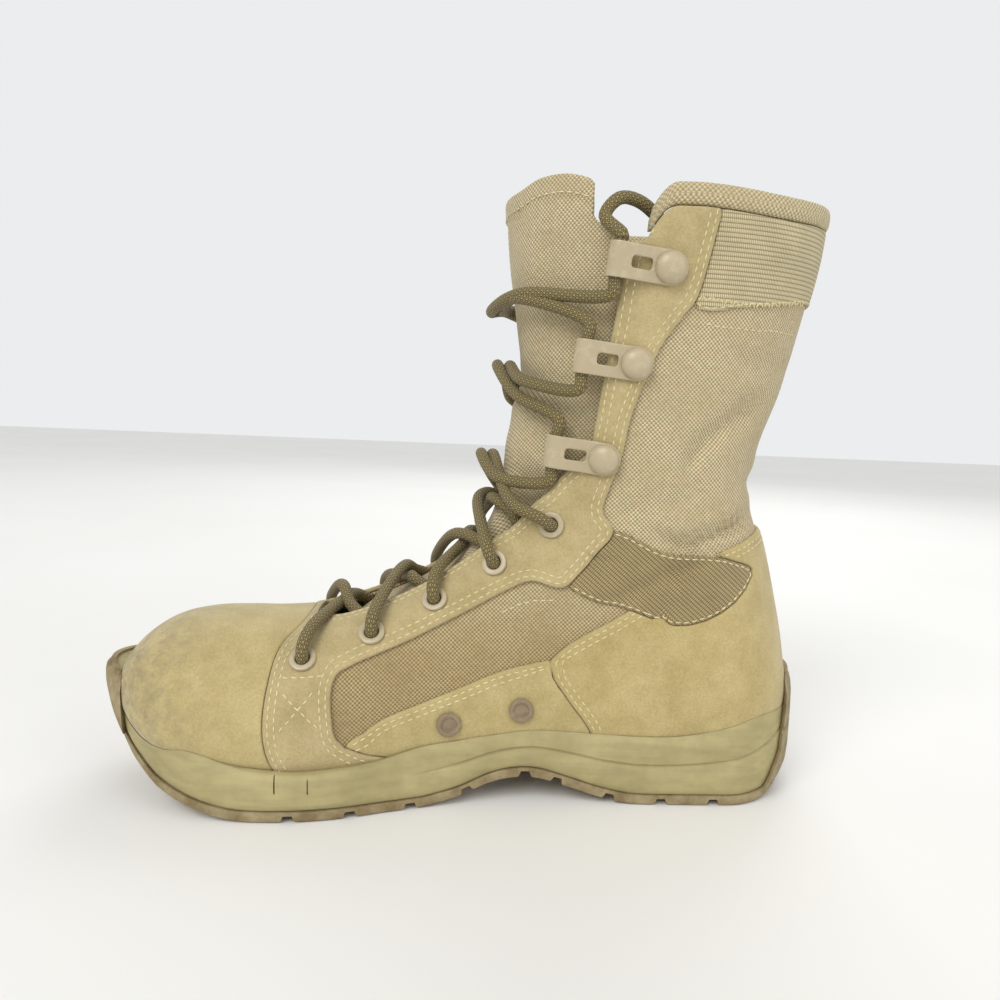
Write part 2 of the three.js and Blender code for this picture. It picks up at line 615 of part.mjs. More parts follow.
// Lace: round cord. Points are sections, turns and heights over the last.
const laceOver = trimSeat + laceDiameter / 2 + 0.8;
const cordSides = 6;
function cord(points, steps) {
  const ring = new THREE.Shape(
    Array.from({ length: cordSides }, (_, i) => {
      const angle = ((i + 0.5) / cordSides) * 2 * Math.PI;
      return new THREE.Vector2(Math.cos(angle), Math.sin(angle)).multiplyScalar(laceDiameter / 2);
    }),
  );
  const extrudePath = new THREE.CatmullRomCurve3(points);
  return new THREE.ExtrudeGeometry(ring, { steps, extrudePath, bevelEnabled: false });
}
const hookPoint = (place, sign, forward, sideways, height) =>
  new THREE.Vector3(forward, sideways, height).applyMatrix4(trimFrame(place, sign));

// The crossings, from the toe up: the sections where a strand leaves its eyelet or hook, passes the middle
// and arrives from below on the other side, and its height over the last in the middle.
const crossings = table(
  ["leave", "middle", "arrive", "height"],
  [
    [6.95, 7.5, 7.8, 5.6],
    [8.35, 8.9, 9.2, 4.4],
    [9.65, 10.3, 10.8, 3.8],
    [11.2, 11.6, 12.1, 3.8],
    [12.7, 13.3, 12.9, 6],
    [17.3, 18.5, 18.2, 5.5],
    [21.1, 20.8, 21.2, 6],
  ],
);
const holes = [...eyelets, ...hooks];
const laceInHook = hookLift + hookSheet - hookCurl;
const besideHook = hookWidth / 2 + 0.9;
const guideReach = 5; // how far a strand runs on squarely from a hook
function leaving(i, sign) {
  const { section, turn } = holes[i];
  const { leave, height } = crossings[i];
  if (i >= eyelets.length) {
    return [
      hookPoint(holes[i], sign, hookReach, sign * besideHook, laceInHook),
      hookPoint(holes[i], sign, hookReach, sign * (besideHook + guideReach), laceInHook),
      onLast(leave, sign * turn * 0.35, height + 0.4),
    ];
  }
  return [
    onLast(section, sign * turn, trimSeat + eyeletFlange + 1.4),
    onLast(section, sign * turn * 0.97, laceOver + 2.6),
    onLast(leave, sign * turn * 0.7, laceOver + 1.2),
  ];
}
function arriving(i, sign) {
  const { turn } = holes[i + 1];
  const { arrive, height } = crossings[i];
  if (i + 1 >= eyelets.length) {
    return [
      onLast(arrive, sign * turn * 0.35, height + 0.2),
      hookPoint(holes[i + 1], sign, hookReach, -sign * (besideHook + guideReach), laceInHook),
      hookPoint(holes[i + 1], sign, hookReach, -sign * besideHook, laceInHook),
    ];
  }
  return [
    onLast(arrive - 0.2, sign * throatHalf(arrive) * 0.4, 2),
    onLast(arrive, sign * throatHalf(arrive) * 0.58, 1.2),
  ];
}
function makeCrossing(i) {
  const middle = onLast(crossings[i].middle, 0, crossings[i].height);
  const path = (sign) => [...leaving(i, sign), middle, ...arriving(i, -sign)];
  const strands = sides.map(({ sign }) => solid(cord(path(sign), 8)));
  return strands[0].add(strands[1]);
}

// The tucked end: from the top hook over the collar's front corner to just inside it.
function makeLaceEnd(sign) {
  const top = hooks.at(-1);
  const start = hookPoint(top, sign, hookReach, sign * besideHook, laceInHook);
  const onward = hookPoint(top, sign, hookReach, sign * (besideHook + 1.5), laceInHook);
  return cord([start, onward, onLast(23, sign * 0.178, 0.5), onLast(23.35, sign * 0.19, -2.5),
    onLast(23.4, sign * 0.206, -8), onLast(23.1, sign * 0.22, -9.5)], 6);
}

// Materials
function finish(color, roughness, metalness = 0) {
  return new THREE.MeshStandardMaterial({ color, roughness, metalness });
}
const suede = finish(0xa9945f, 0.95);
const nylon = finish(0x9c8660, 0.9);
const webbing = finish(0xa08c62, 0.9);
const foam = finish(0x8f865a, 0.8);
const rubber = finish(0x7b6440, 0.7);
const painted = finish(0x7d6a4f, 0.45, 0.1);
const laceCord = finish(0x6b5a2e, 0.85);
const footbed = finish(0x5c5238, 0.9);

const boot = new THREE.Group();
boot.name = "combat_boot";
function place(name, shape, material) {
  const mesh = new THREE.Mesh(shape.isBufferGeometry ? shape : geometryOf(shape), material);
  mesh.name = name;
  boot.add(mesh);
}

place("outsole", makeOutsole(), rubber);
place("midsole", makeMidsole(), foam);
place("insole", makeInsole(), footbed);
place("upper", makeUpper(), nylon);
place("tongue", makeTongue(), nylon);
place("vamp", overlay(vampOutline, { less: [grown(eyestayOutline)] }), suede);
place("heel_counter", overlay(counterOutline, { less: [grown(strapOutline)] }), suede);
const cuffCut = { shell: webbingShell, less: [grown(eyestayOutline)] };
place("collar_webbing", overlay(cuffOutline, cuffCut), webbing);
place("collar_binding", makeBinding(), webbing);
for (const { name, sign, span } of sides) {
  place(`eyestay_${name}`, overlay(eyestayOutline, { span }), suede);
  const randLess = [grown(eyestayOutline), grown(counterOutline)];
  place(`rand_${name}`, overlay(randOutline, { span, less: randLess }), suede);
  const strapCut = { shell: webbingShell, span, less: [grown(eyestayOutline)] };
  place(`ankle_strap_${name}`, overlay(strapOutline, strapCut), webbing);
  const fitted = (shape, at) => shape.applyMatrix4(trimFrame(at, sign));
  eyelets.forEach((at, i) => place(`eyelet_${name}_${i + 1}`, fitted(makeEyelet(), at), painted));
  hooks.forEach((at, i) => place(`hook_${name}_${i + 1}`, fitted(makeHook(), at), painted));
  hooks.forEach((at, i) => place(`rivet_${name}_${i + 1}`, fitted(makeRivet(), at), painted));
  place(`lace_end_${name}`, makeLaceEnd(sign), laceCord);
}
vents.forEach((at, i) => place(`vent_${i + 1}`, makeVent().applyMatrix4(trimFrame(at, -1)), painted));
crossings.forEach((_, i) => place(`lace_crossing_${i + 1}`, makeCrossing(i), laceCord));

export default boot;
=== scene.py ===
from math import cos, pi, radians, sin

import bmesh
import bpy
import numpy as np
from mathutils import Matrix, Vector


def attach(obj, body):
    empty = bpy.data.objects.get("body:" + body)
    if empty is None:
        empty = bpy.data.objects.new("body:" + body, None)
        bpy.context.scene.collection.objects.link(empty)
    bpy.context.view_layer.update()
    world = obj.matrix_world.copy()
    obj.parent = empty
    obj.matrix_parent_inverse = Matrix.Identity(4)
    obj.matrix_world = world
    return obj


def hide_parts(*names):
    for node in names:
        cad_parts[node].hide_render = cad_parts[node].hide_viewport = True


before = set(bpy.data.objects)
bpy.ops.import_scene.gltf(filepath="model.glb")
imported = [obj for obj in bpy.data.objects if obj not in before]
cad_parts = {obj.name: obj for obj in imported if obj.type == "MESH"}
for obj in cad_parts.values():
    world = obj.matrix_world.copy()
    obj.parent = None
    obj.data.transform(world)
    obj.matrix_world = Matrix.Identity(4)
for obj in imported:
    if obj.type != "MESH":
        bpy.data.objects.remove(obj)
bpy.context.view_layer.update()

metre = 0.001  # every length below is in millimetres until its mesh is made

# The boot's own sizes. The toe points to -X, the inner side is at -Y, and +Z is up.
boot = {
    "length": 293.0,
    "ballWidth": 106.0,
    "height": 252.0,
    "sideShift": 1.72,
    "gap": 0.3,  # between pieces that touch
    "wall": 2.2,
    "binding": 9.0,  # how far the collar's binding reaches down
    "rebate": 4.0,  # how far the upper sits down behind the midsole's lip
}
sideShare = np.array([boot["length"], boot["height"]])


# Camera: the photograph's angle, rolled a little, with the boot upright
camera = {
    "azimuth": -3.7,
    "elevation": 6.0,
    "roll": 2.4,
    "distance": 348.0,
    "lens": 28.55,  # on a 36 mm sensor
    "target": (14.4, 1.72, 121.0),
}


def makeCamera():
    az, el, roll = (radians(camera[key]) for key in ("azimuth", "elevation", "roll"))
    back = Vector((sin(az) * cos(el), -cos(az) * cos(el), sin(el)))
    right = (-back).cross(Vector((0, 0, 1))).normalized()
    up = right.cross(-back)
    rolledRight = cos(roll) * right + sin(roll) * up
    rolledUp = cos(roll) * up - sin(roll) * right
    place = (Vector(camera["target"]) + camera["distance"] * back) * metre
    data = bpy.data.cameras.new("photo_camera")
    data.sensor_width = 36
    data.lens = camera["lens"]
    data.clip_start = 0.01
    made = bpy.data.objects.new("photo_camera", data)
    axes = Matrix((rolledRight, rolledUp, back)).transposed().to_4x4()
    made.matrix_world = Matrix.Translation(place) @ axes
    bpy.context.scene.collection.objects.link(made)
    bpy.context.scene.camera = made


makeCamera()
print("camera placed")


# Tables: smooth values between given rows
def columns(table, row):
    row = np.asarray(row, float)
    first = np.clip(np.floor(row).astype(int), 0, len(table) - 2)
    part = (row - first)[..., None]
    p = [table[np.clip(first + k, 0, len(table) - 1)] for k in (-1, 0, 1, 2)]
    square = 2 * p[0] - 5 * p[1] + 4 * p[2] - p[3]
    cube = 3 * p[1] - p[0] - 3 * p[2] + p[3]
    return 0.5 * (2 * p[1] + (p[2] - p[0]) * part + square * part**2 + cube * part**3)


def tableAt(table, key):
    row = np.interp(key, table[:, 0], np.arange(len(table)))
    return np.moveaxis(columns(table, row)[..., 1:], -1, 0)


# The last: dorsal X and Z, ventral X and Z, middle, inner and outer width, how far down the widest
# place is, and the two exponents that round the top and the bottom of the section.
lastTable = np.array([
    [-0.472, 0.19, -0.473, 0.165, -0.09, 0.04, 0.04, 0.5, 2, 2],
    [-0.463, 0.213, -0.465, 0.143, -0.09, 0.165, 0.155, 0.6, 2.2, 2.4],
    [-0.441, 0.242, -0.443, 0.114, -0.08, 0.27, 0.26, 0.66, 2.2, 2.8],
    [-0.409, 0.264, -0.411, 0.089, -0.07, 0.345, 0.335, 0.7, 2.2, 3.2],
    [-0.366, 0.274, -0.369, 0.073, -0.055, 0.4, 0.395, 0.73, 2.2, 3.5],
    [-0.315, 0.275, -0.318, 0.062, -0.04, 0.43, 0.435, 0.75, 2.2, 3.5],
    [-0.258, 0.275, -0.261, 0.057, -0.03, 0.445, 0.455, 0.76, 2.2, 3.5],
    [-0.201, 0.281, -0.206, 0.053, -0.02, 0.44, 0.46, 0.77, 2.4, 3.5],
    [-0.137, 0.305, -0.143, 0.052, -0.01, 0.415, 0.435, 0.76, 2.6, 3.5],
    [-0.071, 0.34, -0.076, 0.052, 0, 0.37, 0.4, 0.73, 2.6, 3.6],
    [-0.013, 0.386, 0.001, 0.057, 0, 0.335, 0.365, 0.69, 2.5, 4],
    [0.026, 0.441, 0.101, 0.063, 0, 0.32, 0.345, 0.65, 2.3, 4.5],
    [0.043, 0.5, 0.216, 0.067, 0, 0.32, 0.34, 0.6, 2.2, 5],
    [0.047, 0.547, 0.336, 0.071, 0, 0.33, 0.345, 0.57, 2.2, 5],
    [0.049, 0.583, 0.436, 0.079, 0, 0.34, 0.345, 0.55, 2.2, 4.2],
    [0.054, 0.611, 0.483, 0.142, 0, 0.345, 0.35, 0.53, 2.2, 3],
    [0.061, 0.639, 0.48, 0.238, 0, 0.35, 0.355, 0.52, 2.2, 2.4],
    [0.066, 0.667, 0.465, 0.329, 0, 0.355, 0.36, 0.51, 2.2, 2.1],
    [0.064, 0.694, 0.445, 0.413, 0, 0.36, 0.365, 0.5, 2.2, 2.1],
    [0.065, 0.726, 0.421, 0.493, 0, 0.37, 0.37, 0.5, 2.2, 2.1],
    [0.06, 0.766, 0.427, 0.584, 0, 0.38, 0.38, 0.5, 2.2, 2.1],
    [0.053, 0.817, 0.455, 0.687, 0, 0.39, 0.39, 0.5, 2.2, 2.1],
    [0.045, 0.873, 0.477, 0.798, 0, 0.41, 0.41, 0.5, 2.2, 2.1],
    [0.039, 0.937, 0.495, 0.901, 0, 0.43, 0.43, 0.5, 2.2, 2.1],
    [0.035, 1.01, 0.502, 1.002, 0, 0.445, 0.445, 0.5, 2.2, 2.1],
    [0.034, 1.09, 0.51, 1.102, 0, 0.455, 0.455, 0.5, 2.2, 2.1],
])
lastSection = len(lastTable) - 1
toeCap = 1.2  # how far the closed tip of the toe bulges


def lastPoint(section, turn):
    section, turn = np.broadcast_arrays(np.asarray(section, float), np.asarray(turn, float))
    c = np.moveaxis(columns(lastTable, np.clip(section, 0, lastSection)), -1, 0)
    dorsalX, dorsalZ, ventralX, ventralZ, middle, inner, outer, widest, topRound, bottomRound = c
    level = np.cos(2 * pi * turn)
    side = np.sin(2 * pi * turn)
    power = 2 / np.where(level >= 0, topRound, bottomRound)
    drop = np.abs(level) ** power
    down = np.where(level >= 0, widest * (1 - drop), widest + (1 - widest) * drop)
    width = np.sign(side) * np.abs(side) ** power * np.where(side > 0, outer, inner)
    tip = np.clip(1 + section, 0, 1)  # below section 0 the tip closes
    down = 0.5 + (down - 0.5) * tip
    x = boot["length"] * (dorsalX + (ventralX - dorsalX) * down) - toeCap * (1 - tip**2)
    y = boot["ballWidth"] * (middle + width * tip) + boot["sideShift"]
    z = boot["height"] * (dorsalZ + (ventralZ - dorsalZ) * down)
    return np.stack([x, y, z], -1)


def lastNormal(section, turn):
    section, turn = np.broadcast_arrays(np.asarray(section, float), np.asarray(turn, float))
    onward = lastPoint(np.minimum(lastSection, section + 0.02), turn)
    onward = onward - lastPoint(np.maximum(-0.99, section - 0.02), turn)
    sideways = lastPoint(np.maximum(section, -0.97), turn + 0.002)
    sideways = sideways - lastPoint(np.maximum(section, -0.97), turn - 0.002)
    normal = np.cross(onward, sideways)
    return normal / np.maximum(np.linalg.norm(normal, axis=-1, keepdims=True), 1e-9)


def onLast(section, turn, height):
    return lastPoint(section, turn) + lastNormal(section, turn) * np.asarray(height)[..., None]


# Lengths round the last, from a fine chart of it
chartSections = np.linspace(0, lastSection, 201)
chartTurns = np.linspace(0, 0.5, 101)
chartArcs = {}
for chartSide in (-1, 1):
    ring = lastPoint(chartSections[:, None], chartSide * chartTurns[None, :])
    steps = np.linalg.norm(np.diff(ring, axis=1), axis=-1)
    chartArcs[chartSide] = np.concatenate([np.zeros((len(ring), 1)), np.cumsum(steps, axis=1)], axis=1)


def girth(section):
    whole = chartArcs[-1][:, -1] + chartArcs[1][:, -1]
    return np.interp(section, chartSections, whole)


# Cloth coordinates in millimetres, so that a weave keeps its size all over the panels
def clothUv(section, turn):
    section = np.clip(section, 0, lastSection)
    turn = np.where(turn > 0.5, turn - 1, turn)
    side = np.where(turn >= 0, 1, -1)
    row = section / lastSection * (len(chartSections) - 1)
    column = np.abs(turn) / 0.5 * (len(chartTurns) - 1)
    i = np.clip(row.astype(int), 0, len(chartSections) - 2)
    j = np.clip(column.astype(int), 0, len(chartTurns) - 2)
    f, g = row - i, column - j
    arc = np.zeros_like(section)
    quarter = (len(chartTurns) - 1) // 2
    for which, arcs in chartArcs.items():
        here = (1 - f) * ((1 - g) * arcs[i, j] + g * arcs[i, j + 1])
        here += f * ((1 - g) * arcs[i + 1, j] + g * arcs[i + 1, j + 1])
        here -= (1 - f) * arcs[i, quarter] + f * arcs[i + 1, quarter]
        arc = np.where(side == which, here, arc)
    c = columns(lastTable, section)
    along = (c[..., 2:4] - c[..., 0:2]) * sideShare
    along /= np.linalg.norm(along, axis=-1, keepdims=True)
    middle = lastPoint(section, side * 0.25)[..., [0, 2]]
    return middle + along * arc[..., None]


# Outlines in the side view: points are shares of the length and the height
def rounded(points, closed=True, steps=5):
    p = np.array(points, float) * sideShare
    before, after = np.roll(p, 1, 0), np.roll(p, -1, 0)
    if not closed:
        before[0], after[-1] = p[0], p[-1]
    way = after - before
    way /= np.maximum(np.linalg.norm(way, axis=1, keepdims=True), 1e-9)
    stretches = len(p) if closed else len(p) - 1
    line = []
    for i in range(stretches):
        a, b = p[i], p[(i + 1) % len(p)]
        reach = np.linalg.norm(b - a)
        ways = (way[i] * reach, way[(i + 1) % len(p)] * reach)
        for u in np.arange(steps) / steps:
            ends = (2 * u**3 - 3 * u**2 + 1) * a + (3 * u**2 - 2 * u**3) * b
            line.append(ends + (u**3 - 2 * u**2 + u) * ways[0] + (u**3 - u**2) * ways[1])
    if not closed:
        line.append(p[-1])
    return np.array(line)


def lineDistance(x, z, line, closed):
    best = np.full(x.shape, 1e9)
    where = np.zeros(x.shape)
    odd = np.zeros(x.shape, bool)
    ends = np.roll(line, -1, 0) if closed else line[1:]
    for k, (a, b) in enumerate(zip(line, ends)):
        reach = b - a
        share = ((x - a[0]) * reach[0] + (z - a[1]) * reach[1]) / max(reach @ reach, 1e-12)
        share = np.clip(share, 0, 1)
        away = np.hypot(x - a[0] - share * reach[0], z - a[1] - share * reach[1])
        where = np.where(away < best, k + share, where)
        best = np.minimum(best, away)
        if closed and a[1] != b[1]:
            crossed = (a[1] > z) != (b[1] > z)
            odd ^= crossed & (x < a[0] + (z - a[1]) * reach[0] / reach[1])
    return best, where / max(len(line) - 1, 1), odd


def insideOf(outline):
    line = rounded(outline)

    def distance(x, z):
        away, _, inside = lineDistance(x, z, line, True)
        return np.where(inside, away, -away)

    return distance


wingFront = [
    (-0.2, 0.32), (-0.222, 0.275), (-0.247, 0.246), (-0.256, 0.2), (-0.258, 0.144), (-0.252, 0.102),
    (-0.236, 0.066), (-0.22, 0.04),
]
wingRear = [
    (-0.07, 0.06), (-0.099, 0.083), (-0.13, 0.095), (-0.164, 0.12), (-0.172, 0.16), (-0.173, 0.2),
]
eyestayLow = [
    (-0.163, 0.221), (-0.072, 0.266), (0.004, 0.311), (0.059, 0.347), (0.092, 0.364), (0.132, 0.356),
    (0.157, 0.383), (0.179, 0.417), (0.198, 0.451), (0.183, 0.482), (0.189, 0.515), (0.203, 0.573),
    (0.211, 0.636), (0.239, 0.733), (0.265, 0.783), (0.283, 0.814), (0.295, 0.874), (0.306, 0.96),
]
eyestayOutline = [
    *wingRear, *eyestayLow, (0.306, 1.2), (-0.15, 1.2), (-0.18, 0.4), *wingFront, (-0.08, 0.02),
]
vampOutline = [(-0.6, -0.1), (-0.23, -0.1), *wingFront[::-1], (-0.18, 0.4), (-0.15, 0.6), (-0.6, 0.6)]
randTop = [
    (-0.172, 0.1), (-0.135, 0.124), (-0.109, 0.145), (-0.057, 0.167), (-0.003, 0.191), (0.048, 0.216),
    (0.09, 0.23), (0.15, 0.243),
]
randOutline = [(-0.172, 0), *randTop, (0.22, 0.24), (0.22, 0)]
counterFront = [
    (0.188, 0.09), (0.181, 0.122), (0.147, 0.175), (0.12, 0.222), (0.122, 0.238), (0.15, 0.268),
    (0.214, 0.315),
]
counterOutline = [
    (0.2, 0), *counterFront, (0.3, 0.39), (0.333, 0.416), (0.38, 0.436), (0.424, 0.452), (0.6, 0.462),
    (0.6, 0),
]
strapOutline = [
    (0.13, 0.375), (0.177, 0.337), (0.213, 0.33), (0.312, 0.305), (0.402, 0.383), (0.36, 0.411),
    (0.333, 0.416), (0.268, 0.421), (0.2, 0.453), (0.155, 0.44),
]
cuffOutline = [(0.275, 0.812), (0.364, 0.808), (0.468, 0.827), (0.6, 0.835), (0.6, 1.2), (0.275, 1.2)]
collarLine = rounded([(0.212, 0.929), (0.228, 0.963), (0.248, 0.98), (0.41, 0.976), (0.54, 0.99)], False)
tongueTop = rounded(
    [(-0.2, 0.98), (0.045, 0.98), (0.075, 0.992), (0.115, 0.992), (0.16, 0.97), (0.21, 0.92), (0.23, 0.9)],
    False,
)
throatTable = np.array([
    [6.9, 0.03], [7.5, 0.048], [8.8, 0.056], [9.8, 0.062], [10.9, 0.08], [12, 0.11], [13.6, 0.124],
    [15.2, 0.138], [16.8, 0.166], [19, 0.188], [20.8, 0.196], [22.4, 0.202], [23.2, 0.218], [25, 0.23],
])


def throatHalf(section):
    return tableAt(throatTable, section)[0]


# The sole: x, middle, inner and outer half width, the midsole's lip and the tread
soleTable = np.array([
    [-0.5, -0.085, 0.3, 0.3, 0.2, 0.16],
    [-0.47, -0.082, 0.33, 0.33, 0.19, 0.112],
    [-0.44, -0.078, 0.36, 0.355, 0.172, 0.073],
    [-0.4, -0.07, 0.395, 0.395, 0.144, 0.039],
    [-0.35, -0.058, 0.435, 0.435, 0.108, 0.017],
    [-0.3, -0.047, 0.465, 0.47, 0.086, 0.003],
    [-0.25, -0.037, 0.48, 0.495, 0.077, 0],
    [-0.2, -0.028, 0.48, 0.505, 0.073, 0],
    [-0.15, -0.02, 0.46, 0.5, 0.078, 0],
    [-0.1, -0.01, 0.425, 0.48, 0.085, 0],
    [-0.05, 0, 0.395, 0.455, 0.099, 0.001],
    [0, 0, 0.37, 0.43, 0.106, 0.014],
    [0.05, 0, 0.352, 0.41, 0.116, 0.037],
    [0.1, 0, 0.345, 0.395, 0.124, 0.043],
    [0.15, 0, 0.343, 0.382, 0.122, 0.028],
    [0.2, 0, 0.345, 0.372, 0.116, 0.01],
    [0.25, 0, 0.35, 0.367, 0.113, 0],
    [0.3, 0, 0.352, 0.362, 0.114, 0],
    [0.35, 0, 0.352, 0.358, 0.123, 0],
    [0.4, 0, 0.35, 0.353, 0.142, 0],
    [0.45, 0, 0.345, 0.346, 0.178, 0.009],
    [0.5, 0, 0.34, 0.34, 0.205, 0.04],
])


def rimHeight(x):
    return boot["height"] * tableAt(soleTable, x / boot["length"])[3]


# Meshes
def meshObject(name, points, faces, materials, uv=None, slots=None, sharp=None):
    mesh = bpy.data.meshes.new(name)
    points = np.asarray(points, float) * metre
    faces = np.asarray(faces, int)
    mesh.vertices.add(len(points))
    mesh.vertices.foreach_set("co", points.ravel())
    mesh.loops.add(faces.size)
    mesh.loops.foreach_set("vertex_index", faces.ravel())
    mesh.polygons.add(len(faces))
    mesh.polygons.foreach_set("loop_start", np.arange(0, faces.size, faces.shape[1]))
    mesh.polygons.foreach_set("loop_total", np.full(len(faces), faces.shape[1]))
    if slots is not None:
        mesh.polygons.foreach_set("material_index", slots)
    if uv is not None:
        layer = mesh.uv_layers.new(name="cloth")
        layer.data.foreach_set("uv", np.asarray(uv, float)[faces.ravel()].ravel())
    mesh.update(calc_edges=True)
    mesh.validate()
    mesh.polygons.foreach_set("use_smooth", np.ones(len(mesh.polygons), bool))
    if sharp is not None:
        mesh.set_sharp_from_angle(angle=radians(sharp))
    for each in materials:
        mesh.materials.append(each)
    made = bpy.data.objects.new(name, mesh)
    bpy.context.scene.collection.objects.link(made)
    return made


# A flat chart of a surface: two coordinates for each point, and two triangles for each cell
def chart(first, second):
    a, b = np.meshgrid(first, second, indexing="ij")
    numbers = np.arange(a.size).reshape(a.shape)
    corners = [numbers[:-1, :-1], numbers[1:, :-1], numbers[1:, 1:], numbers[:-1, 1:]]
    p, q, r, s = (corner.ravel() for corner in corners)
    faces = np.concatenate([np.stack([p, q, r], 1), np.stack([p, r, s], 1)])
    return np.stack([a.ravel(), b.ravel()], 1), faces


snap = 0.06  # a point this near to a level is on it


# Adds points where the last column passes a level, so that no face lies across it
def splitAt(points, faces, level):
    points = points.copy()
    value = points[:, -1] - level
    value[np.abs(value) < snap] = 0
    points[:, -1] = value + level
    side = np.sign(value)[faces]
    crossed = (side.min(1) < 0) & (side.max(1) > 0)
    work, side = faces[crossed], side[crossed]
    touching = (side == 0).any(1)
    kept = [faces[~crossed]]
    pairs = []
    lone = np.where(side.sum(1) > 0, -1, 1)
    first = np.where(touching, (side == 0).argmax(1), (side == lone[:, None]).argmax(1))
    turned = np.stack([work[np.arange(len(work)), (first + k) % 3] for k in range(3)], 1)
    a, b, c = turned[touching].T
    pairs.append(np.stack([b, c], 1))
    d, e, f = turned[~touching].T
    pairs += [np.stack([d, e], 1), np.stack([d, f], 1)]
    every = np.sort(np.concatenate(pairs), axis=1)
    edges, back = np.unique(every, axis=0, return_inverse=True)
    back = back.ravel() + len(points)
    low, high = value[edges[:, 0]], value[edges[:, 1]]
    share = (low / (low - high))[:, None]
    fresh = points[edges[:, 0]] * (1 - share) + points[edges[:, 1]] * share
    m = back[: len(a)]
    n, o = back[len(a) : len(a) + len(d)], back[len(a) + len(d) :]
    kept += [np.stack([a, b, m], 1), np.stack([a, m, c], 1)]
    kept += [np.stack([d, n, o], 1), np.stack([n, e, f], 1), np.stack([n, f, o], 1)]
    flat = (value[faces] == 0).sum(1) == 2
    onLevel = faces[flat & (value[faces].max(1) > 0)]
    ends = [np.array([[v for v in tri if value[v] == 0] for tri in onLevel]).reshape(-1, 2)]
    ends += [np.stack([a, m], 1), np.stack([n, o], 1)]
    return np.concatenate([points, fresh]), np.concatenate(kept), np.concatenate(ends).astype(int)


# Joins pairs of point numbers into lines
def chains(pairs):
    near = {}
    for a, b in pairs.tolist():
        near.setdefault(a, []).append(b)
        near.setdefault(b, []).append(a)
    used = set()
    lines = []
    for start in [k for k, v in near.items() if len(v) == 1] + list(near):
        line = [start]
        while True:
            here = line[-1]
            onward = [n for n in near[here] if (min(here, n), max(here, n)) not in used]
            if not onward:
                break
            used.add((min(here, onward[0]), max(here, onward[0])))
            line.append(onward[0])
        if len(line) > 3:
            lines.append(line)
    return lines


# Points with the same keys become one, and faces that lose a corner go
def welded(points, faces, keys):
    _, first, back = np.unique(keys, axis=0, return_index=True, return_inverse=True)
    faces = back.ravel()[faces]
    sound = (faces[:, 0] != faces[:, 1]) & (faces[:, 1] != faces[:, 2]) & (faces[:, 0] != faces[:, 2])
    return points[first], faces[sound]


def insideOut(points, faces):
    a, b, c = (points[faces[:, k]] for k in range(3))
    return (np.cross(a, b) * c).sum() < 0


# The four corners of every cell between rings that are closed on themselves
def ringCells(count, n):
    i, j = (m.ravel() for m in np.meshgrid(np.arange(count - 1), np.arange(n), indexing="ij"))
    k = (j + 1) % n
    return i * n + j, i * n + k, (i + 1) * n + k, (i + 1) * n + j


# A closed sheet with rolled edges, cut out of a chart along the zero line of its field
def cutSheet(name, points, faces, field, place, low, high, edge, materials, both=False, uvOf=None):
    points = np.concatenate([points, field[:, None]], 1)
    for level in (0, 0.12 * edge, 0.45 * edge, edge):
        points, faces, _ = splitAt(points, faces, level)
    faces = faces[points[:, -1][faces].mean(1) > 0]
    points, faces = welded(points, faces, np.round(place(points[:, 0], points[:, 1], 0), 3))
    used = np.unique(faces)
    renumber = np.zeros(len(points), int)
    renumber[used] = np.arange(len(used))
    points, faces = points[used], renumber[faces]
    rise = np.clip(points[:, -1] / edge, 0, 1)
    roll = min(edge, (high - low) * (0.5 if both else 1)) * (1 - np.sqrt(1 - (1 - rise) ** 2))
    top = place(points[:, 0], points[:, 1], high - roll)
    bottom = place(points[:, 0], points[:, 1], low + (roll if both else 0))
    directed = np.concatenate([faces[:, [0, 1]], faces[:, [1, 2]], faces[:, [2, 0]]])
    keys = directed[:, 0] * len(points) + directed[:, 1]
    mirrored = directed[:, 1] * len(points) + directed[:, 0]
    rim = directed[~np.isin(keys, mirrored)]
    count = len(points)
    sides = np.concatenate([
        np.stack([rim[:, 1], rim[:, 0], rim[:, 0] + count], 1),
        np.stack([rim[:, 1], rim[:, 0] + count, rim[:, 1] + count], 1),
    ])
    whole = np.concatenate([faces, faces[:, ::-1] + count, sides])
    slots = np.concatenate([np.zeros(len(faces)), np.ones(len(faces)), np.zeros(len(sides))]).astype(int)
    if len(materials) == 1:
        slots[:] = 0
    uv = None
    if uvOf is not None:
        uv = np.tile(uvOf(points[:, 0], points[:, 1]), (2, 1))
    return meshObject(name, np.concatenate([top, bottom]), whole, materials, uv, slots)


# Materials
def colour(code):
    channels = [int(code[i : i + 2], 16) / 255 for i in (1, 3, 5)]
    linear = [c / 12.92 if c <= 0.04045 else ((c + 0.055) / 1.055) ** 2.4 for c in channels]
    return (*linear, 1.0)


def node(tree, kind, links=None, out=0, **settings):
    made = tree.nodes.new(kind)
    for key, value in settings.items():
        setattr(made, key, value)
    for key, value in (links or {}).items():
        if isinstance(value, bpy.types.NodeSocket):
            tree.links.new(value, made.inputs[key])
        else:
            made.inputs[key].default_value = value
    return made.outputs[out] if len(made.outputs) else made


blend = {"out": 2, "data_type": "RGBA"}  # settings of a node that mixes two colours
times = {**blend, "blend_type": "MULTIPLY"}


# A noise's inputs, with the size of its patches in millimetres
def grain(place, size, detail, roughness=0.5):
    return {"Vector": place, "Scale": 1 / size, "Detail": detail, "Roughness": roughness}


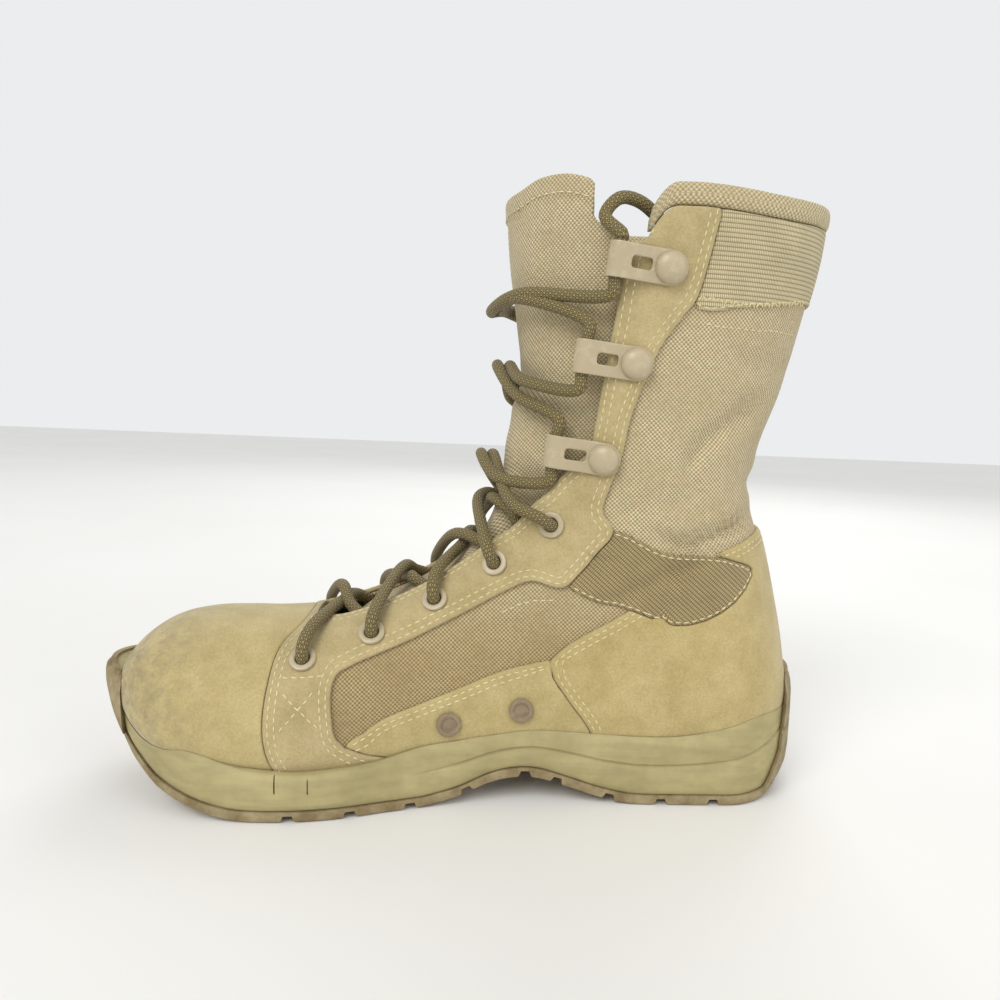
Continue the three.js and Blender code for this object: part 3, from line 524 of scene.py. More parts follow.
def startMaterial(name, coordinates="Object"):
    made = bpy.data.materials.new(name)
    made.use_nodes = True
    tree = made.node_tree
    tree.nodes.clear()
    place = node(tree, "ShaderNodeTexCoord", out=coordinates)
    scale = 1 / metre if coordinates == "Object" else 1.0
    inMm = node(tree, "ShaderNodeVectorMath", {0: place, "Scale": scale}, operation="SCALE")
    return made, tree, inMm


def endMaterial(tree, base, height, depth, rough, **uniform):
    bump = node(tree, "ShaderNodeBump", {"Height": height, "Distance": depth * metre, "Strength": 1.0})
    links = {"Base Color": base, "Roughness": rough, "Normal": bump}
    links.update({key.replace("_", " "): value for key, value in uniform.items()})
    shader = node(tree, "ShaderNodeBsdfPrincipled", links)
    node(tree, "ShaderNodeOutputMaterial", {"Surface": shader})


grimeFrom, grimeFull = -88.0, -132.0  # where along X the toe's grime starts, and where it is full


# Cow suede, brushed: a matt nap whose hairs lie in patches, lighter where they are ruffled
def suedeMaterial(name, plain, worn, grime, seed=0.0):
    made, tree, inMm = startMaterial(name)
    moved = node(tree, "ShaderNodeVectorMath", {0: inMm, 1: (seed, seed, seed)}, operation="ADD")
    patches = node(tree, "ShaderNodeTexNoise", grain(moved, 14, 5.0, 0.6))
    nap = node(tree, "ShaderNodeTexNoise", grain(moved, 0.9, 3.0, 0.7))
    scuffs = node(tree, "ShaderNodeTexNoise", grain(moved, 5, 6.0, 0.75))
    patch = node(tree, "ShaderNodeMapRange", {0: patches, 1: 0.35, 2: 0.68, 3: 0.0, 4: 1.0})
    base = node(tree, "ShaderNodeMix", {0: patch, 6: colour(plain), 7: colour(worn)}, **blend)
    speck = node(tree, "ShaderNodeMapRange", {0: nap, 1: 0.3, 2: 0.75, 3: 0.84, 4: 1.12})
    base = node(tree, "ShaderNodeMix", {0: 1.0, 6: base, 7: speck}, **times)
    apart = node(tree, "ShaderNodeSeparateXYZ", {0: inMm})
    toe = node(tree, "ShaderNodeMapRange", {0: apart, 1: grimeFrom, 2: grimeFull, 3: 0.0, 4: 1.0})
    rub = node(tree, "ShaderNodeMapRange", {0: scuffs, 1: 0.42, 2: 0.66, 3: 0.1, 4: 1.0})
    darkenMask = node(tree, "ShaderNodeMath", {0: toe, 1: rub}, operation="MULTIPLY")
    base = node(tree, "ShaderNodeMix", {0: darkenMask, 6: base, 7: colour(grime)}, **blend)
    fuzz = node(tree, "ShaderNodeMath", {0: nap, 1: scuffs}, operation="ADD")
    endMaterial(tree, base, fuzz, 0.22, 0.95, Sheen_Weight=0.25, Sheen_Roughness=0.5)
    return made


# Textured nylon, plain woven from thick yarns: rows of pale dots with painted shade in the gaps
# between them. The yarns are drawn a little coarser than real ones, so that they show. It can be made
# darker towards the bottom.
def weaveMaterial(name, light, dark, soiled, yarn, dotDepth=0.16, turn=0.0, darkerBelow=None):
    made, tree, inMm = startMaterial(name, "UV")
    turned = node(tree, "ShaderNodeMapping", {0: inMm, "Rotation": (0, 0, turn), "Scale": (pi / yarn,) * 3})
    apart = node(tree, "ShaderNodeSeparateXYZ", {0: turned}).node
    over = node(tree, "ShaderNodeMath", {0: apart.outputs[0]}, operation="COSINE")
    across = node(tree, "ShaderNodeMath", {0: apart.outputs[1]}, operation="COSINE")
    both = node(tree, "ShaderNodeMath", {0: over, 1: across}, operation="MULTIPLY")
    dots = node(tree, "ShaderNodeMapRange", {0: both, 1: -0.55, 2: 0.6, 3: 0.0, 4: 1.0})
    hollow = node(tree, "ShaderNodeMath", {0: both}, operation="ABSOLUTE")
    height = node(tree, "ShaderNodeMath", {0: hollow, 1: dots}, operation="ADD")
    broad = node(tree, "ShaderNodeTexNoise", grain(inMm, 22, 4.0, 0.6))
    fine = node(tree, "ShaderNodeTexNoise", grain(inMm, 2.2, 2.0, 0.6))
    # Painted shade: the gaps between the yarns take the dark colour, and the yarn tops take the light one
    base = node(tree, "ShaderNodeMix", {0: dots, 6: colour(dark), 7: colour(light)}, **blend)
    stain = node(tree, "ShaderNodeMapRange", {0: broad, 1: 0.45, 2: 0.75, 3: 0.0, 4: 0.55})
    base = node(tree, "ShaderNodeMix", {0: stain, 6: base, 7: colour(soiled)}, **blend)
    vary = node(tree, "ShaderNodeMapRange", {0: fine, 1: 0.3, 2: 0.7, 3: 0.9, 4: 1.08})
    base = node(tree, "ShaderNodeMix", {0: 1.0, 6: base, 7: vary}, **times)
    # Darker towards the bottom: below the first height the colour is multiplied by a darker tint, which
    # fades out by the second
    if darkerBelow:
        place = node(tree, "ShaderNodeTexCoord", out="Object")
        upwards = node(tree, "ShaderNodeSeparateXYZ", {0: place}, out=2)
        low, high = (each * metre for each in darkerBelow)
        darkenMask = node(tree, "ShaderNodeMapRange", {0: upwards, 1: low, 2: high, 3: 1.0, 4: 0.0})
        darkerTint = (0.74, 0.68, 0.55, 1)
        base = node(tree, "ShaderNodeMix", {0: darkenMask, 6: base, 7: darkerTint}, **times)
    endMaterial(tree, base, height, dotDepth, 0.82, Sheen_Weight=0.15)
    return made


# Polyester webbing: flat yarns in raised ribs that run along the band
def webbingMaterial(name, light, dark, rib, turn=0.0):
    made, tree, inMm = startMaterial(name, "UV")
    turned = node(tree, "ShaderNodeMapping", {0: inMm, "Rotation": (0, 0, turn), "Scale": (pi, pi, pi)})
    apart = node(tree, "ShaderNodeSeparateXYZ", {0: turned}).node
    ribs = node(tree, "ShaderNodeMath", {0: apart.outputs[1], 1: 1 / rib}, operation="MULTIPLY")
    yarns = node(tree, "ShaderNodeMath", {0: apart.outputs[0], 1: 1 / 0.8}, operation="MULTIPLY")
    ribs = node(tree, "ShaderNodeMath", {0: ribs}, operation="SINE")
    yarns = node(tree, "ShaderNodeMath", {0: yarns}, operation="SINE")
    ribs = node(tree, "ShaderNodeMath", {0: ribs}, operation="ABSOLUTE")
    yarns = node(tree, "ShaderNodeMath", {0: yarns}, operation="ABSOLUTE")
    height = node(tree, "ShaderNodeMath", {0: ribs, 1: yarns}, operation="MULTIPLY")
    shade = node(tree, "ShaderNodeMapRange", {0: height, 1: 0.05, 2: 0.6, 3: 0.0, 4: 1.0})
    broad = node(tree, "ShaderNodeTexNoise", grain(inMm, 12, 4.0))
    base = node(tree, "ShaderNodeMix", {0: shade, 6: colour(dark), 7: colour(light)}, **blend)
    vary = node(tree, "ShaderNodeMapRange", {0: broad, 1: 0.3, 2: 0.7, 3: 0.9, 4: 1.07})
    base = node(tree, "ShaderNodeMix", {0: 1.0, 6: base, 7: vary}, **times)
    endMaterial(tree, base, height, 0.3, 0.8, Sheen_Weight=0.15)
    return made


# Compression-moulded foam, used: a satin skin with soft stains and a few fine cracks
def foamMaterial():
    made, tree, inMm = startMaterial("moulded_foam")
    broad = node(tree, "ShaderNodeTexNoise", grain(inMm, 26, 5.0, 0.65))
    streaks = node(tree, "ShaderNodeMapping", {0: inMm, "Scale": (0.05, 0.3, 0.35)})
    streak = node(tree, "ShaderNodeTexNoise", grain(streaks, 1, 4.0))
    skin = node(tree, "ShaderNodeTexNoise", grain(inMm, 0.7, 2.0))
    stain = node(tree, "ShaderNodeMapRange", {0: broad, 1: 0.35, 2: 0.7, 3: 0.0, 4: 1.0})
    base = node(tree, "ShaderNodeMix", {0: stain, 6: colour("#aea273"), 7: colour("#968b5f")}, **blend)
    lines = node(tree, "ShaderNodeMapRange", {0: streak, 1: 0.4, 2: 0.7, 3: 1.04, 4: 0.9})
    base = node(tree, "ShaderNodeMix", {0: 1.0, 6: base, 7: lines}, **times)
    endMaterial(tree, base, skin, 0.05, 0.62)
    return made


# Moulded rubber, worn: brown, matt and dusty
def rubberMaterial(name, plain, dusty):
    made, tree, inMm = startMaterial(name)
    broad = node(tree, "ShaderNodeTexNoise", grain(inMm, 9, 6.0, 0.7))
    grit = node(tree, "ShaderNodeTexNoise", grain(inMm, 0.5, 3.0))
    dust = node(tree, "ShaderNodeMapRange", {0: broad, 1: 0.38, 2: 0.66, 3: 0.0, 4: 1.0})
    base = node(tree, "ShaderNodeMix", {0: dust, 6: colour(plain), 7: colour(dusty)}, **blend)
    endMaterial(tree, base, grit, 0.12, 0.75)
    return made


# Brass, painted tan: a smooth, slightly glossy coat with a few rubbed places
def paintMaterial(name, paint, rubbed):
    made, tree, inMm = startMaterial(name)
    broad = node(tree, "ShaderNodeTexNoise", grain(inMm, 4, 5.0, 0.7))
    fine = node(tree, "ShaderNodeTexNoise", grain(inMm, 0.4, 2.0))
    wear = node(tree, "ShaderNodeMapRange", {0: broad, 1: 0.5, 2: 0.72, 3: 0.0, 4: 1.0})
    base = node(tree, "ShaderNodeMix", {0: wear, 6: colour(paint), 7: colour(rubbed)}, **blend)
    endMaterial(tree, base, fine, 0.02, 0.34, Specular_IOR_Level=0.55)
    return made


# Braided nylon cord: strands cross in a herringbone, olive-brown with yellow flecks
def laceMaterial():
    made, tree, inMm = startMaterial("braided_lace", "UV")
    apart = node(tree, "ShaderNodeSeparateXYZ", {0: inMm}).node
    along = node(tree, "ShaderNodeMath", {0: apart.outputs[0], 1: 2 * pi / 2.4}, operation="MULTIPLY")
    around = node(tree, "ShaderNodeMath", {0: apart.outputs[1], 1: 2 * pi / 1.96}, operation="MULTIPLY")
    plus = node(tree, "ShaderNodeMath", {0: along, 1: around}, operation="ADD")
    minus = node(tree, "ShaderNodeMath", {0: along, 1: around}, operation="SUBTRACT")
    plus = node(tree, "ShaderNodeMath", {0: plus}, operation="COSINE")
    minus = node(tree, "ShaderNodeMath", {0: minus}, operation="COSINE")
    height = node(tree, "ShaderNodeMath", {0: plus, 1: minus}, operation="MAXIMUM")
    fleck = node(tree, "ShaderNodeMath", {0: plus, 1: minus}, operation="MULTIPLY")
    shade = node(tree, "ShaderNodeMapRange", {0: height, 1: -0.2, 2: 0.9, 3: 0.0, 4: 1.0})
    base = node(tree, "ShaderNodeMix", {0: shade, 6: colour("#3a3018"), 7: colour("#75663c")}, **blend)
    mask = node(tree, "ShaderNodeMapRange", {0: fleck, 1: 0.35, 2: 0.8, 3: 0.0, 4: 0.85})
    base = node(tree, "ShaderNodeMix", {0: mask, 6: base, 7: colour("#b3a26a")}, **blend)
    endMaterial(tree, base, height, 0.18, 0.7, Sheen_Weight=0.1)
    return made


# Bonded polyester thread, waxed: pale and slightly shiny
def threadMaterial():
    made, tree, inMm = startMaterial("sewing_thread")
    fine = node(tree, "ShaderNodeTexNoise", grain(inMm, 0.6, 2.0))
    wide = node(tree, "ShaderNodeTexNoise", grain(inMm, 18, 2.0))
    base = node(tree, "ShaderNodeMix", {0: wide, 6: colour("#e3d8ac"), 7: colour("#c3b583")}, **blend)
    endMaterial(tree, base, fine, 0.05, 0.55)
    return made


# Foam footbed with a brushed knitted cover
def footbedMaterial():
    made, tree, inMm = startMaterial("footbed_knit")
    fine = node(tree, "ShaderNodeTexNoise", grain(inMm, 0.8, 3.0))
    broad = node(tree, "ShaderNodeTexNoise", grain(inMm, 30, 3.0))
    base = node(tree, "ShaderNodeMix", {0: broad, 6: colour("#5f553c"), 7: colour("#6f6448")}, **blend)
    endMaterial(tree, base, fine, 0.2, 0.9)
    return made


# Pale vinyl floor, matt
def floorMaterial():
    made, tree, inMm = startMaterial("pale_floor")
    broad = node(tree, "ShaderNodeTexNoise", grain(inMm, 300, 3.0))
    base = node(tree, "ShaderNodeMix", {0: broad, 6: colour("#efeeeb"), 7: colour("#e6e5e1")}, **blend)
    endMaterial(tree, base, broad, 0.05, 0.6)
    return made


vampSuede = suedeMaterial("vamp_suede", "#bdac79", "#ad9b67", "#8d7f60")
staySuede = suedeMaterial("eyestay_suede", "#bba97c", "#a89769", "#94845f", 37.0)
heelSuede = suedeMaterial("counter_suede", "#beac78", "#ac9963", "#94845f", 71.0)
# light yarn, painted shade between the yarns, and the colour of the soil patches
nylonColours = ("#dccfa9", "#937f59", "#a8946c")
# The quarter nylon is darker towards the bottom, fully below 62 mm and fading out by 112 mm
quarterNylon = weaveMaterial("quarter_nylon", *nylonColours, 0.85, darkerBelow=(62.0, 112.0))
liningKnit = weaveMaterial("lining_knit", "#8c7f60", "#5f543c", "#6b5f45", 1.1, 0.1)
cuffWebbing = webbingMaterial("cuff_webbing", "#d2c59e", "#8d7d57", 1.7)
strapWebbing = webbingMaterial("strap_webbing", "#b09d70", "#6c5a36", 1.5, 0.7)
bindingWebbing = weaveMaterial("binding_webbing", "#d6c8a2", "#94845d", "#b3a27b", 1.0)
foamSkin = foamMaterial()
treadRubber = rubberMaterial("tread_rubber", "#7d6b48", "#a39470")
paintedBrass = paintMaterial("painted_brass", "#b0a283", "#bfb293")
ventPaint = paintMaterial("vent_paint", "#85735a", "#96866a")
braid = laceMaterial()
thread = threadMaterial()
print("materials made")


# Creases: soft troughs and ridges, given as shares of the length and the height. Their
# widths and depths are in millimetres, and a side is -1 for the inner and 1 for the outer one.
creases = [
    {"line": [(0.412, 0.67), (0.365, 0.639), (0.325, 0.607), (0.3, 0.569), (0.294, 0.539)],
     "width": 6.0, "depth": 3.0, "sides": (-1,)},
    {"line": [(0.25, 0.447), (0.291, 0.433), (0.319, 0.44), (0.37, 0.461), (0.4, 0.48)],
     "width": 4.5, "depth": 3.2, "sides": (-1,)},
    {"line": [(0.2, 0.478), (0.226, 0.491), (0.25, 0.507)], "width": 4.5, "depth": 1.4, "sides": (-1,)},
    {"line": [(0.265, 0.5), (0.29, 0.508), (0.325, 0.53)], "width": 7.0, "depth": 1.8, "sides": (-1,)},
    {"line": [(0.16, 0.411), (0.178, 0.405), (0.21, 0.408)], "width": 2.2, "depth": 0.9, "sides": (-1,)},
    {"line": [(0.19, 0.335), (0.23, 0.357), (0.275, 0.388), (0.332, 0.411)],
     "width": 4.0, "depth": 1.6, "sides": (-1, 1)},
    {"line": [(0.42, 0.68), (0.36, 0.625), (0.31, 0.59), (0.28, 0.55)],
     "width": 6.5, "depth": 2.6, "sides": (1,)},
    {"line": [(0.23, 0.45), (0.28, 0.44), (0.33, 0.455), (0.39, 0.485)],
     "width": 5.0, "depth": 2.8, "sides": (1,)},
    {"line": [(0.33, 0.74), (0.39, 0.72), (0.44, 0.725)], "width": 7.0, "depth": 1.3, "sides": (-1, 1)},
    {"line": [(0.39, 0.545), (0.42, 0.53), (0.46, 0.54)], "width": 6.0, "depth": 1.8, "sides": (-1, 1)},
    {"line": [(-0.02, 0.27), (0.04, 0.275), (0.1, 0.3)], "width": 7.0, "depth": 0.8, "sides": (-1, 1)},
    {"line": [(-0.29, 0.25), (-0.27, 0.2), (-0.275, 0.15)], "width": 7.0, "depth": 0.7, "sides": (-1, 1)},
]
for crease in creases:
    crease["drawn"] = rounded(crease["line"], False)


def drape(points):
    lift = np.zeros(points.shape[:-1])
    side = np.sign(points[..., 1] - boot["sideShift"])
    facing = np.clip(np.abs(points[..., 1] - boot["sideShift"]) / 12, 0, 1)
    for crease in creases:
        away, share, _ = lineDistance(points[..., 0], points[..., 2], crease["drawn"], False)
        at = away / crease["width"]
        fade = np.clip(share / 0.2, 0, 1) * np.clip((1 - share) / 0.2, 0, 1)
        shape = crease["depth"] * (1.1 * at**2 - 1) * np.exp(-1.3 * at**2)
        here = np.isin(side, crease["sides"])
        lift += np.where(here, shape * (0.35 + 0.65 * fade) * facing, 0)
    return lift


def onUpper(section, turn, height):
    base = lastPoint(section, turn)
    return base + lastNormal(section, turn) * (np.asarray(height) + drape(base))[..., None]


# Trims: places as section and turn on the last
eyelet = {"hole": 2.8, "barrel": 3.7, "rim": 5.25, "depth": 4.1}
eyelets = [(6.8, 0.129), (8.2, 0.118), (9.5, 0.11), (11.1, 0.122), (13.3, 0.149)]
hooks = [(16.9, 0.184), (20.3, 0.225), (22.2, 0.24)]
vents = [(9.8, 0.256), (11, 0.26)]
trimSeat = 2.5
sides = (("inner", -1), ("outer", 1))


def trimFrame(place, sign):
    section, turn = place
    normal = lastNormal(section, sign * turn)
    forward = np.array([-1, 0, 0.1])
    forward = forward - (forward @ normal) * normal
    forward /= np.linalg.norm(forward)
    return onLast(section, sign * turn, trimSeat), np.stack([forward, np.cross(normal, forward), normal])


def inFrame(place, sign, points):
    origin, axes = trimFrame(place, sign)
    return origin + np.asarray(points, float) @ axes


def holesField(points):
    field = np.full(points.shape[:-1], 1e9)
    for place in eyelets:
        for _, sign in sides:
            centre = onLast(place[0], sign * place[1], 0)
            field = np.minimum(field, np.linalg.norm(points - centre, axis=-1) - eyelet["barrel"])
    return field


# Fields: distances in millimetres, above zero where there is cloth. The throat starts at a section,
# and one section is about so many millimetres long there.
throatStart = 6.9
sectionLength = 18


def throatField(section, turn):
    turn = np.where(turn > 0.5, turn - 1, turn)
    past = (np.abs(turn) - throatHalf(section)) * girth(section)
    ahead = np.clip(throatStart - section, 0, None) * sectionLength
    within = np.where(section < throatStart, 0, np.minimum(0, past))
    return np.hypot(np.clip(past, 0, None), ahead) + within


def collarField(points, drop=0.0):
    line = np.interp(points[..., 0], collarLine[:, 0], collarLine[:, 1])
    return line - drop - points[..., 2]


# What bounds every panel: the midsole's lip, the collar's binding and the eyelets' holes
def limits(points, tucked=0.0):
    rim = points[..., 2] - (rimHeight(points[..., 0]) - boot["rebate"] + boot["gap"] - tucked)
    collar = collarField(points, boot["binding"] + boot["gap"])
    return np.minimum(np.minimum(rim, collar), holesField(points))


stitchPoints = []
stitchStyle = {"pitch": 3.3, "length": 2.5, "width": 0.62, "height": 0.5, "rows": (1.9, 4.3)}
firstStitch = stitchStyle["pitch"] / 2  # from the start of a row to the middle of its first stitch


# Rows of stitches at set distances inside a field's zero line
def sewRows(points, faces, field, rows, top, keep, surface=onUpper, first=firstStitch):
    chartAndField = np.concatenate([points, field[:, None]], 1)
    for row in rows:
        cut, _, pairs = splitAt(chartAndField, faces, row)
        for line in chains(pairs):
            sewLine(cut[line][:, 0], cut[line][:, 1], top, keep, surface, first)


def sewLine(section, turn, top, keep=None, surface=onUpper, first=firstStitch):
    pitch = stitchStyle["pitch"]
    path = surface(section, turn, np.full(section.shape, top))
    reach = np.concatenate([[0], np.cumsum(np.linalg.norm(np.diff(path, axis=0), axis=1))])
    if reach[-1] < 2 * pitch:
        return
    stops = np.arange(first, reach[-1], pitch)
    s, t = np.interp(stops, reach, section), np.interp(stops, reach, turn)
    spots = surface(s, t, np.full(s.shape, top))
    ahead = np.stack([np.interp(stops + 0.8, reach, path[:, k]) for k in range(3)], 1)
    behind = np.stack([np.interp(stops - 0.8, reach, path[:, k]) for k in range(3)], 1)
    run = ahead - behind
    run /= np.maximum(np.linalg.norm(run, axis=1, keepdims=True), 1e-9)
    kept = keep(s, t, lastPoint(s, t)) if keep else np.ones(len(s), bool)
    for spot, way, out in zip(spots[kept], run[kept], lastNormal(s, t)[kept]):
        stitchPoints.append((spot, way, out))


# The place on one side of the last that is seen at a spot of the side view
sideTurns, sideSections = np.meshgrid(np.linspace(0.03, 0.47, 331), np.linspace(4, 24.5, 821))


def fromSide(line, sign):
    seen = lastPoint(sideSections, sign * sideTurns)[..., [0, 2]].reshape(-1, 2)
    nearest = np.array([((seen - spot) ** 2).sum(1).argmin() for spot in line])
    return sideSections.ravel()[nearest], sign * sideTurns.ravel()[nearest]


def sewSide(points, sign, top):
    line = rounded(points, False, 8)
    sewLine(*fromSide(line, sign), top)


# A zigzag row: each stitch goes from one side of the line to the other
def sewZigzag(points, sign, top, pitch=1.7, swing=1.3):
    line = rounded(points, False, 12)
    reach = np.concatenate([[0], np.cumsum(np.linalg.norm(np.diff(line, axis=0), axis=1))])
    stops = np.arange(0, reach[-1], pitch)
    spots = np.stack([np.interp(stops, reach, line[:, k]) for k in range(2)], 1)
    spots[:, 1] += np.where(np.arange(len(spots)) % 2, swing, -swing)
    section, turn = fromSide(spots, sign)
    path = onUpper(section, turn, np.full(section.shape, top))
    run = np.diff(path, axis=0)
    run /= np.maximum(np.linalg.norm(run, axis=1, keepdims=True), 1e-9)
    out = lastNormal(section, turn)[:-1]
    stitchPoints.extend(zip((path[1:] + path[:-1]) / 2, run, out))


# Seams away from the edges: the cross and the bar on the wing, and two rows on the nylon
onSuede, onNylon, onWebbing = 2.12, 0.02, 1.12  # how high the thread lies over the last
seams = [
    ([(-0.238, 0.137), (-0.192, 0.197)], onSuede),
    ([(-0.236, 0.19), (-0.186, 0.139)], onSuede),
    ([(-0.24, 0.209), (-0.214, 0.21), (-0.185, 0.213)], onSuede),
    ([(0.298, 0.777), (0.345, 0.774), (0.445, 0.776)], onNylon),
    ([(0.05, 0.31), (0.084, 0.329), (0.13, 0.337)], onNylon),
]
cuffZigzag = [(0.285, 0.815), (0.364, 0.811), (0.455, 0.827)]
for _, sign in sides:
    for seam, top in seams:
        sewSide(seam, sign, top)
    sewZigzag(cuffZigzag, sign, onWebbing)

eyestayField = insideOf(eyestayOutline)
vampField = insideOf(vampOutline)
randField = insideOf(randOutline)
counterField = insideOf(counterOutline)
strapField = insideOf(strapOutline)
cuffField = insideOf(cuffOutline)


def flat(points):
    return points[..., 0], points[..., 2]


# Each panel's chart says from which section to which, and from which turn to which, it is drawn, and
# how finely. "less" names the panels laid over it, and "tucked" how far it goes on down behind the lip.
panels = {
    "vamp": {
        "chart": (-1, 9.5, 150, -0.5, 0.5, 220),
        "own": vampField,
        "less": (eyestayField,),
        "high": 1.6,
        "material": vampSuede,
        "tucked": 14.0,
    },
    "heel_counter": {
        "chart": (10, 19.5, 130, 0.2, 0.8, 190),
        "own": counterField,
        "less": (strapField,),
        "high": 1.6,
        "material": heelSuede,
        "sewn": True,
        "tucked": 6.0,
    },
    "collar_webbing": {
        "chart": (19, 25, 60, 0.2, 0.8, 130),
        "own": cuffField,
        "less": (eyestayField,),
        "high": 1.15,
        "material": cuffWebbing,
        "sewn": True,
        "rows": (1.2,),
    },
    "eyestay": {
        "chart": (4.5, 25, 290, 0.0, 0.46, 130),
        "own": eyestayField,
        "less": (),
        "high": 2.1,
        "material": staySuede,
        "sewn": True,
        "throat": True,
    },
    "rand": {
        "chart": (6, 14.5, 110, 0.12, 0.48, 70),
        "own": randField,
        "less": (eyestayField, counterField),
        "high": 1.5,
        "material": vampSuede,
        "sewn": True,
    },
    "ankle_strap": {
        "chart": (12, 19, 80, 0.14, 0.44, 70),
        "own": strapField,
        "less": (eyestayField,),
        "high": 1.25,
        "material": strapWebbing,
        "sewn": True,
        "rows": (1.3,),
    },
}
panelGap = 0.2
edgeRoll = 0.9


def makePanel(name, spec, sign=0):
    fromSection, toSection, rows, fromTurn, toTurn, around = spec["chart"]
    turns = np.linspace(fromTurn, toTurn, around)
    if sign < 0:
        turns = -turns[::-1]
    points, faces = chart(np.linspace(fromSection, toSection, rows), turns)
    section, turn = points.T
    base = lastPoint(section, turn)
    own = spec["own"](*flat(base))
    throat = throatField(section, turn)
    sewn = np.minimum(own, throat) if spec.get("throat") else own
    whole = np.minimum(np.minimum(own, throat), limits(base, spec.get("tucked", 0.0)))
    for other in spec["less"]:
        whole = np.minimum(whole, -other(*flat(base)) - panelGap)
    if sign:
        whole = np.minimum(whole, sign * (base[:, 1] - boot["sideShift"]))
    made = cutSheet(
        name, points, faces, whole, onUpper, 0.12, spec["high"], edgeRoll, [spec["material"]], uvOf=clothUv
    )

    def keep(s, t, p):
        clear = np.minimum(throatField(s, t), limits(p))
        for other in spec["less"]:
            clear = np.minimum(clear, -other(*flat(p)))
        bound = 0.6 if spec.get("throat") else 1.0
        return (clear > bound) & (p[..., 2] > rimHeight(p[..., 0]) + 0.8)

    if spec.get("sewn"):
        sewRows(points, faces, sewn, spec.get("rows", stitchStyle["rows"]), spec["high"] + 0.02, keep)
    return made


def finishPiece(piece, slot, *nodes):
    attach(piece, "root")
    if nodes:
        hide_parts(*nodes)


for panelName, spec in panels.items():
    slot = "webbing" if panelName in ("collar_webbing", "ankle_strap") else "suede"
    if panelName in ("vamp", "heel_counter", "collar_webbing"):
        finishPiece(makePanel("sewn_" + panelName, spec), slot, panelName)
        continue
    for sideName, sign in sides:
        panel = makePanel(f"sewn_{panelName}_{sideName}", spec, sign)
        finishPiece(panel, slot, f"{panelName}_{sideName}")
print("overlays made")


# Wall: nylon outside and a knitted lining inside, open at the collar, the throat and underneath
wallStyle = {"underFrom": 2.5, "underTo": 13.6, "underHalf": 0.085, "sectionLength": 15, "edge": 1.0}


def makeWall():
    points, faces = chart(np.linspace(-1, 25, 196), np.linspace(0, 1, 171))
    section, turn = points.T
    base = lastPoint(section, turn)
    beside = (np.abs(turn - 0.5) - wallStyle["underHalf"]) * girth(section)
    beyond = np.maximum(wallStyle["underFrom"] - section, section - wallStyle["underTo"])
    under = np.maximum(beside, beyond * wallStyle["sectionLength"])
    field = np.minimum(throatField(section, turn), collarField(base, boot["binding"] + boot["gap"]))
    field = np.minimum(np.minimum(field, under), holesField(base))
    wall = cutSheet(
        "nylon_upper", points, faces, field, onUpper, -boot["wall"], 0, wallStyle["edge"],
        [quarterNylon, liningKnit], both=True, uvOf=clothUv,
    )
    finishPiece(wall, "nylon", "upper")


makeWall()


# Binding: a padded roll of webbing over the collar's edge
binding = {"out": 1.9, "in": 4.2, "around": 28, "top": 0.5, "endShrink": 0.45}


def makeBinding():
    turns = np.linspace(0.14, 0.86, 260)
    outline = []
    for turn in turns:
        sections = np.linspace(20.5, 25, 226)
        p = lastPoint(sections, turn)
        low, high = collarField(p, boot["binding"]), collarField(p, binding["top"])
        outline.append([np.interp(0, -low, sections), np.interp(0, -high, sections)])
    lowSection, highSection = np.array(outline).T
    keep = np.minimum(throatField(highSection, turns), throatField(lowSection, turns)) > 0.4
    turns, lowSection, highSection = turns[keep], lowSection[keep], highSection[keep]
    # once round the roll: share of the way up, and height over the last
    angles = 2 * pi * np.arange(binding["around"]) / binding["around"]
    upwards, away = np.sin(angles), np.cos(angles)
    middle, half = (binding["out"] - binding["in"]) / 2, (binding["out"] + binding["in"]) / 2
    up = 0.5 + 0.5 * np.sign(upwards) * np.abs(upwards) ** 0.7
    loop = np.stack([up, middle + half * np.sign(away) * np.abs(away) ** 0.6], 1)
    rings = []
    for turn, low, high in zip(turns, lowSection, highSection):
        section = low + (high - low) * loop[:, 0]
        rings.append(onLast(section, np.full(len(section), turn), loop[:, 1]))
    rings = np.array(rings)
    # the ends close by shrinking to their middles
    for end in (0, -1):
        centre = rings[end].mean(0)
        rings[end] = centre + (rings[end] - centre) * binding["endShrink"]
    return closedTube("collar_roll", rings, [bindingWebbing])


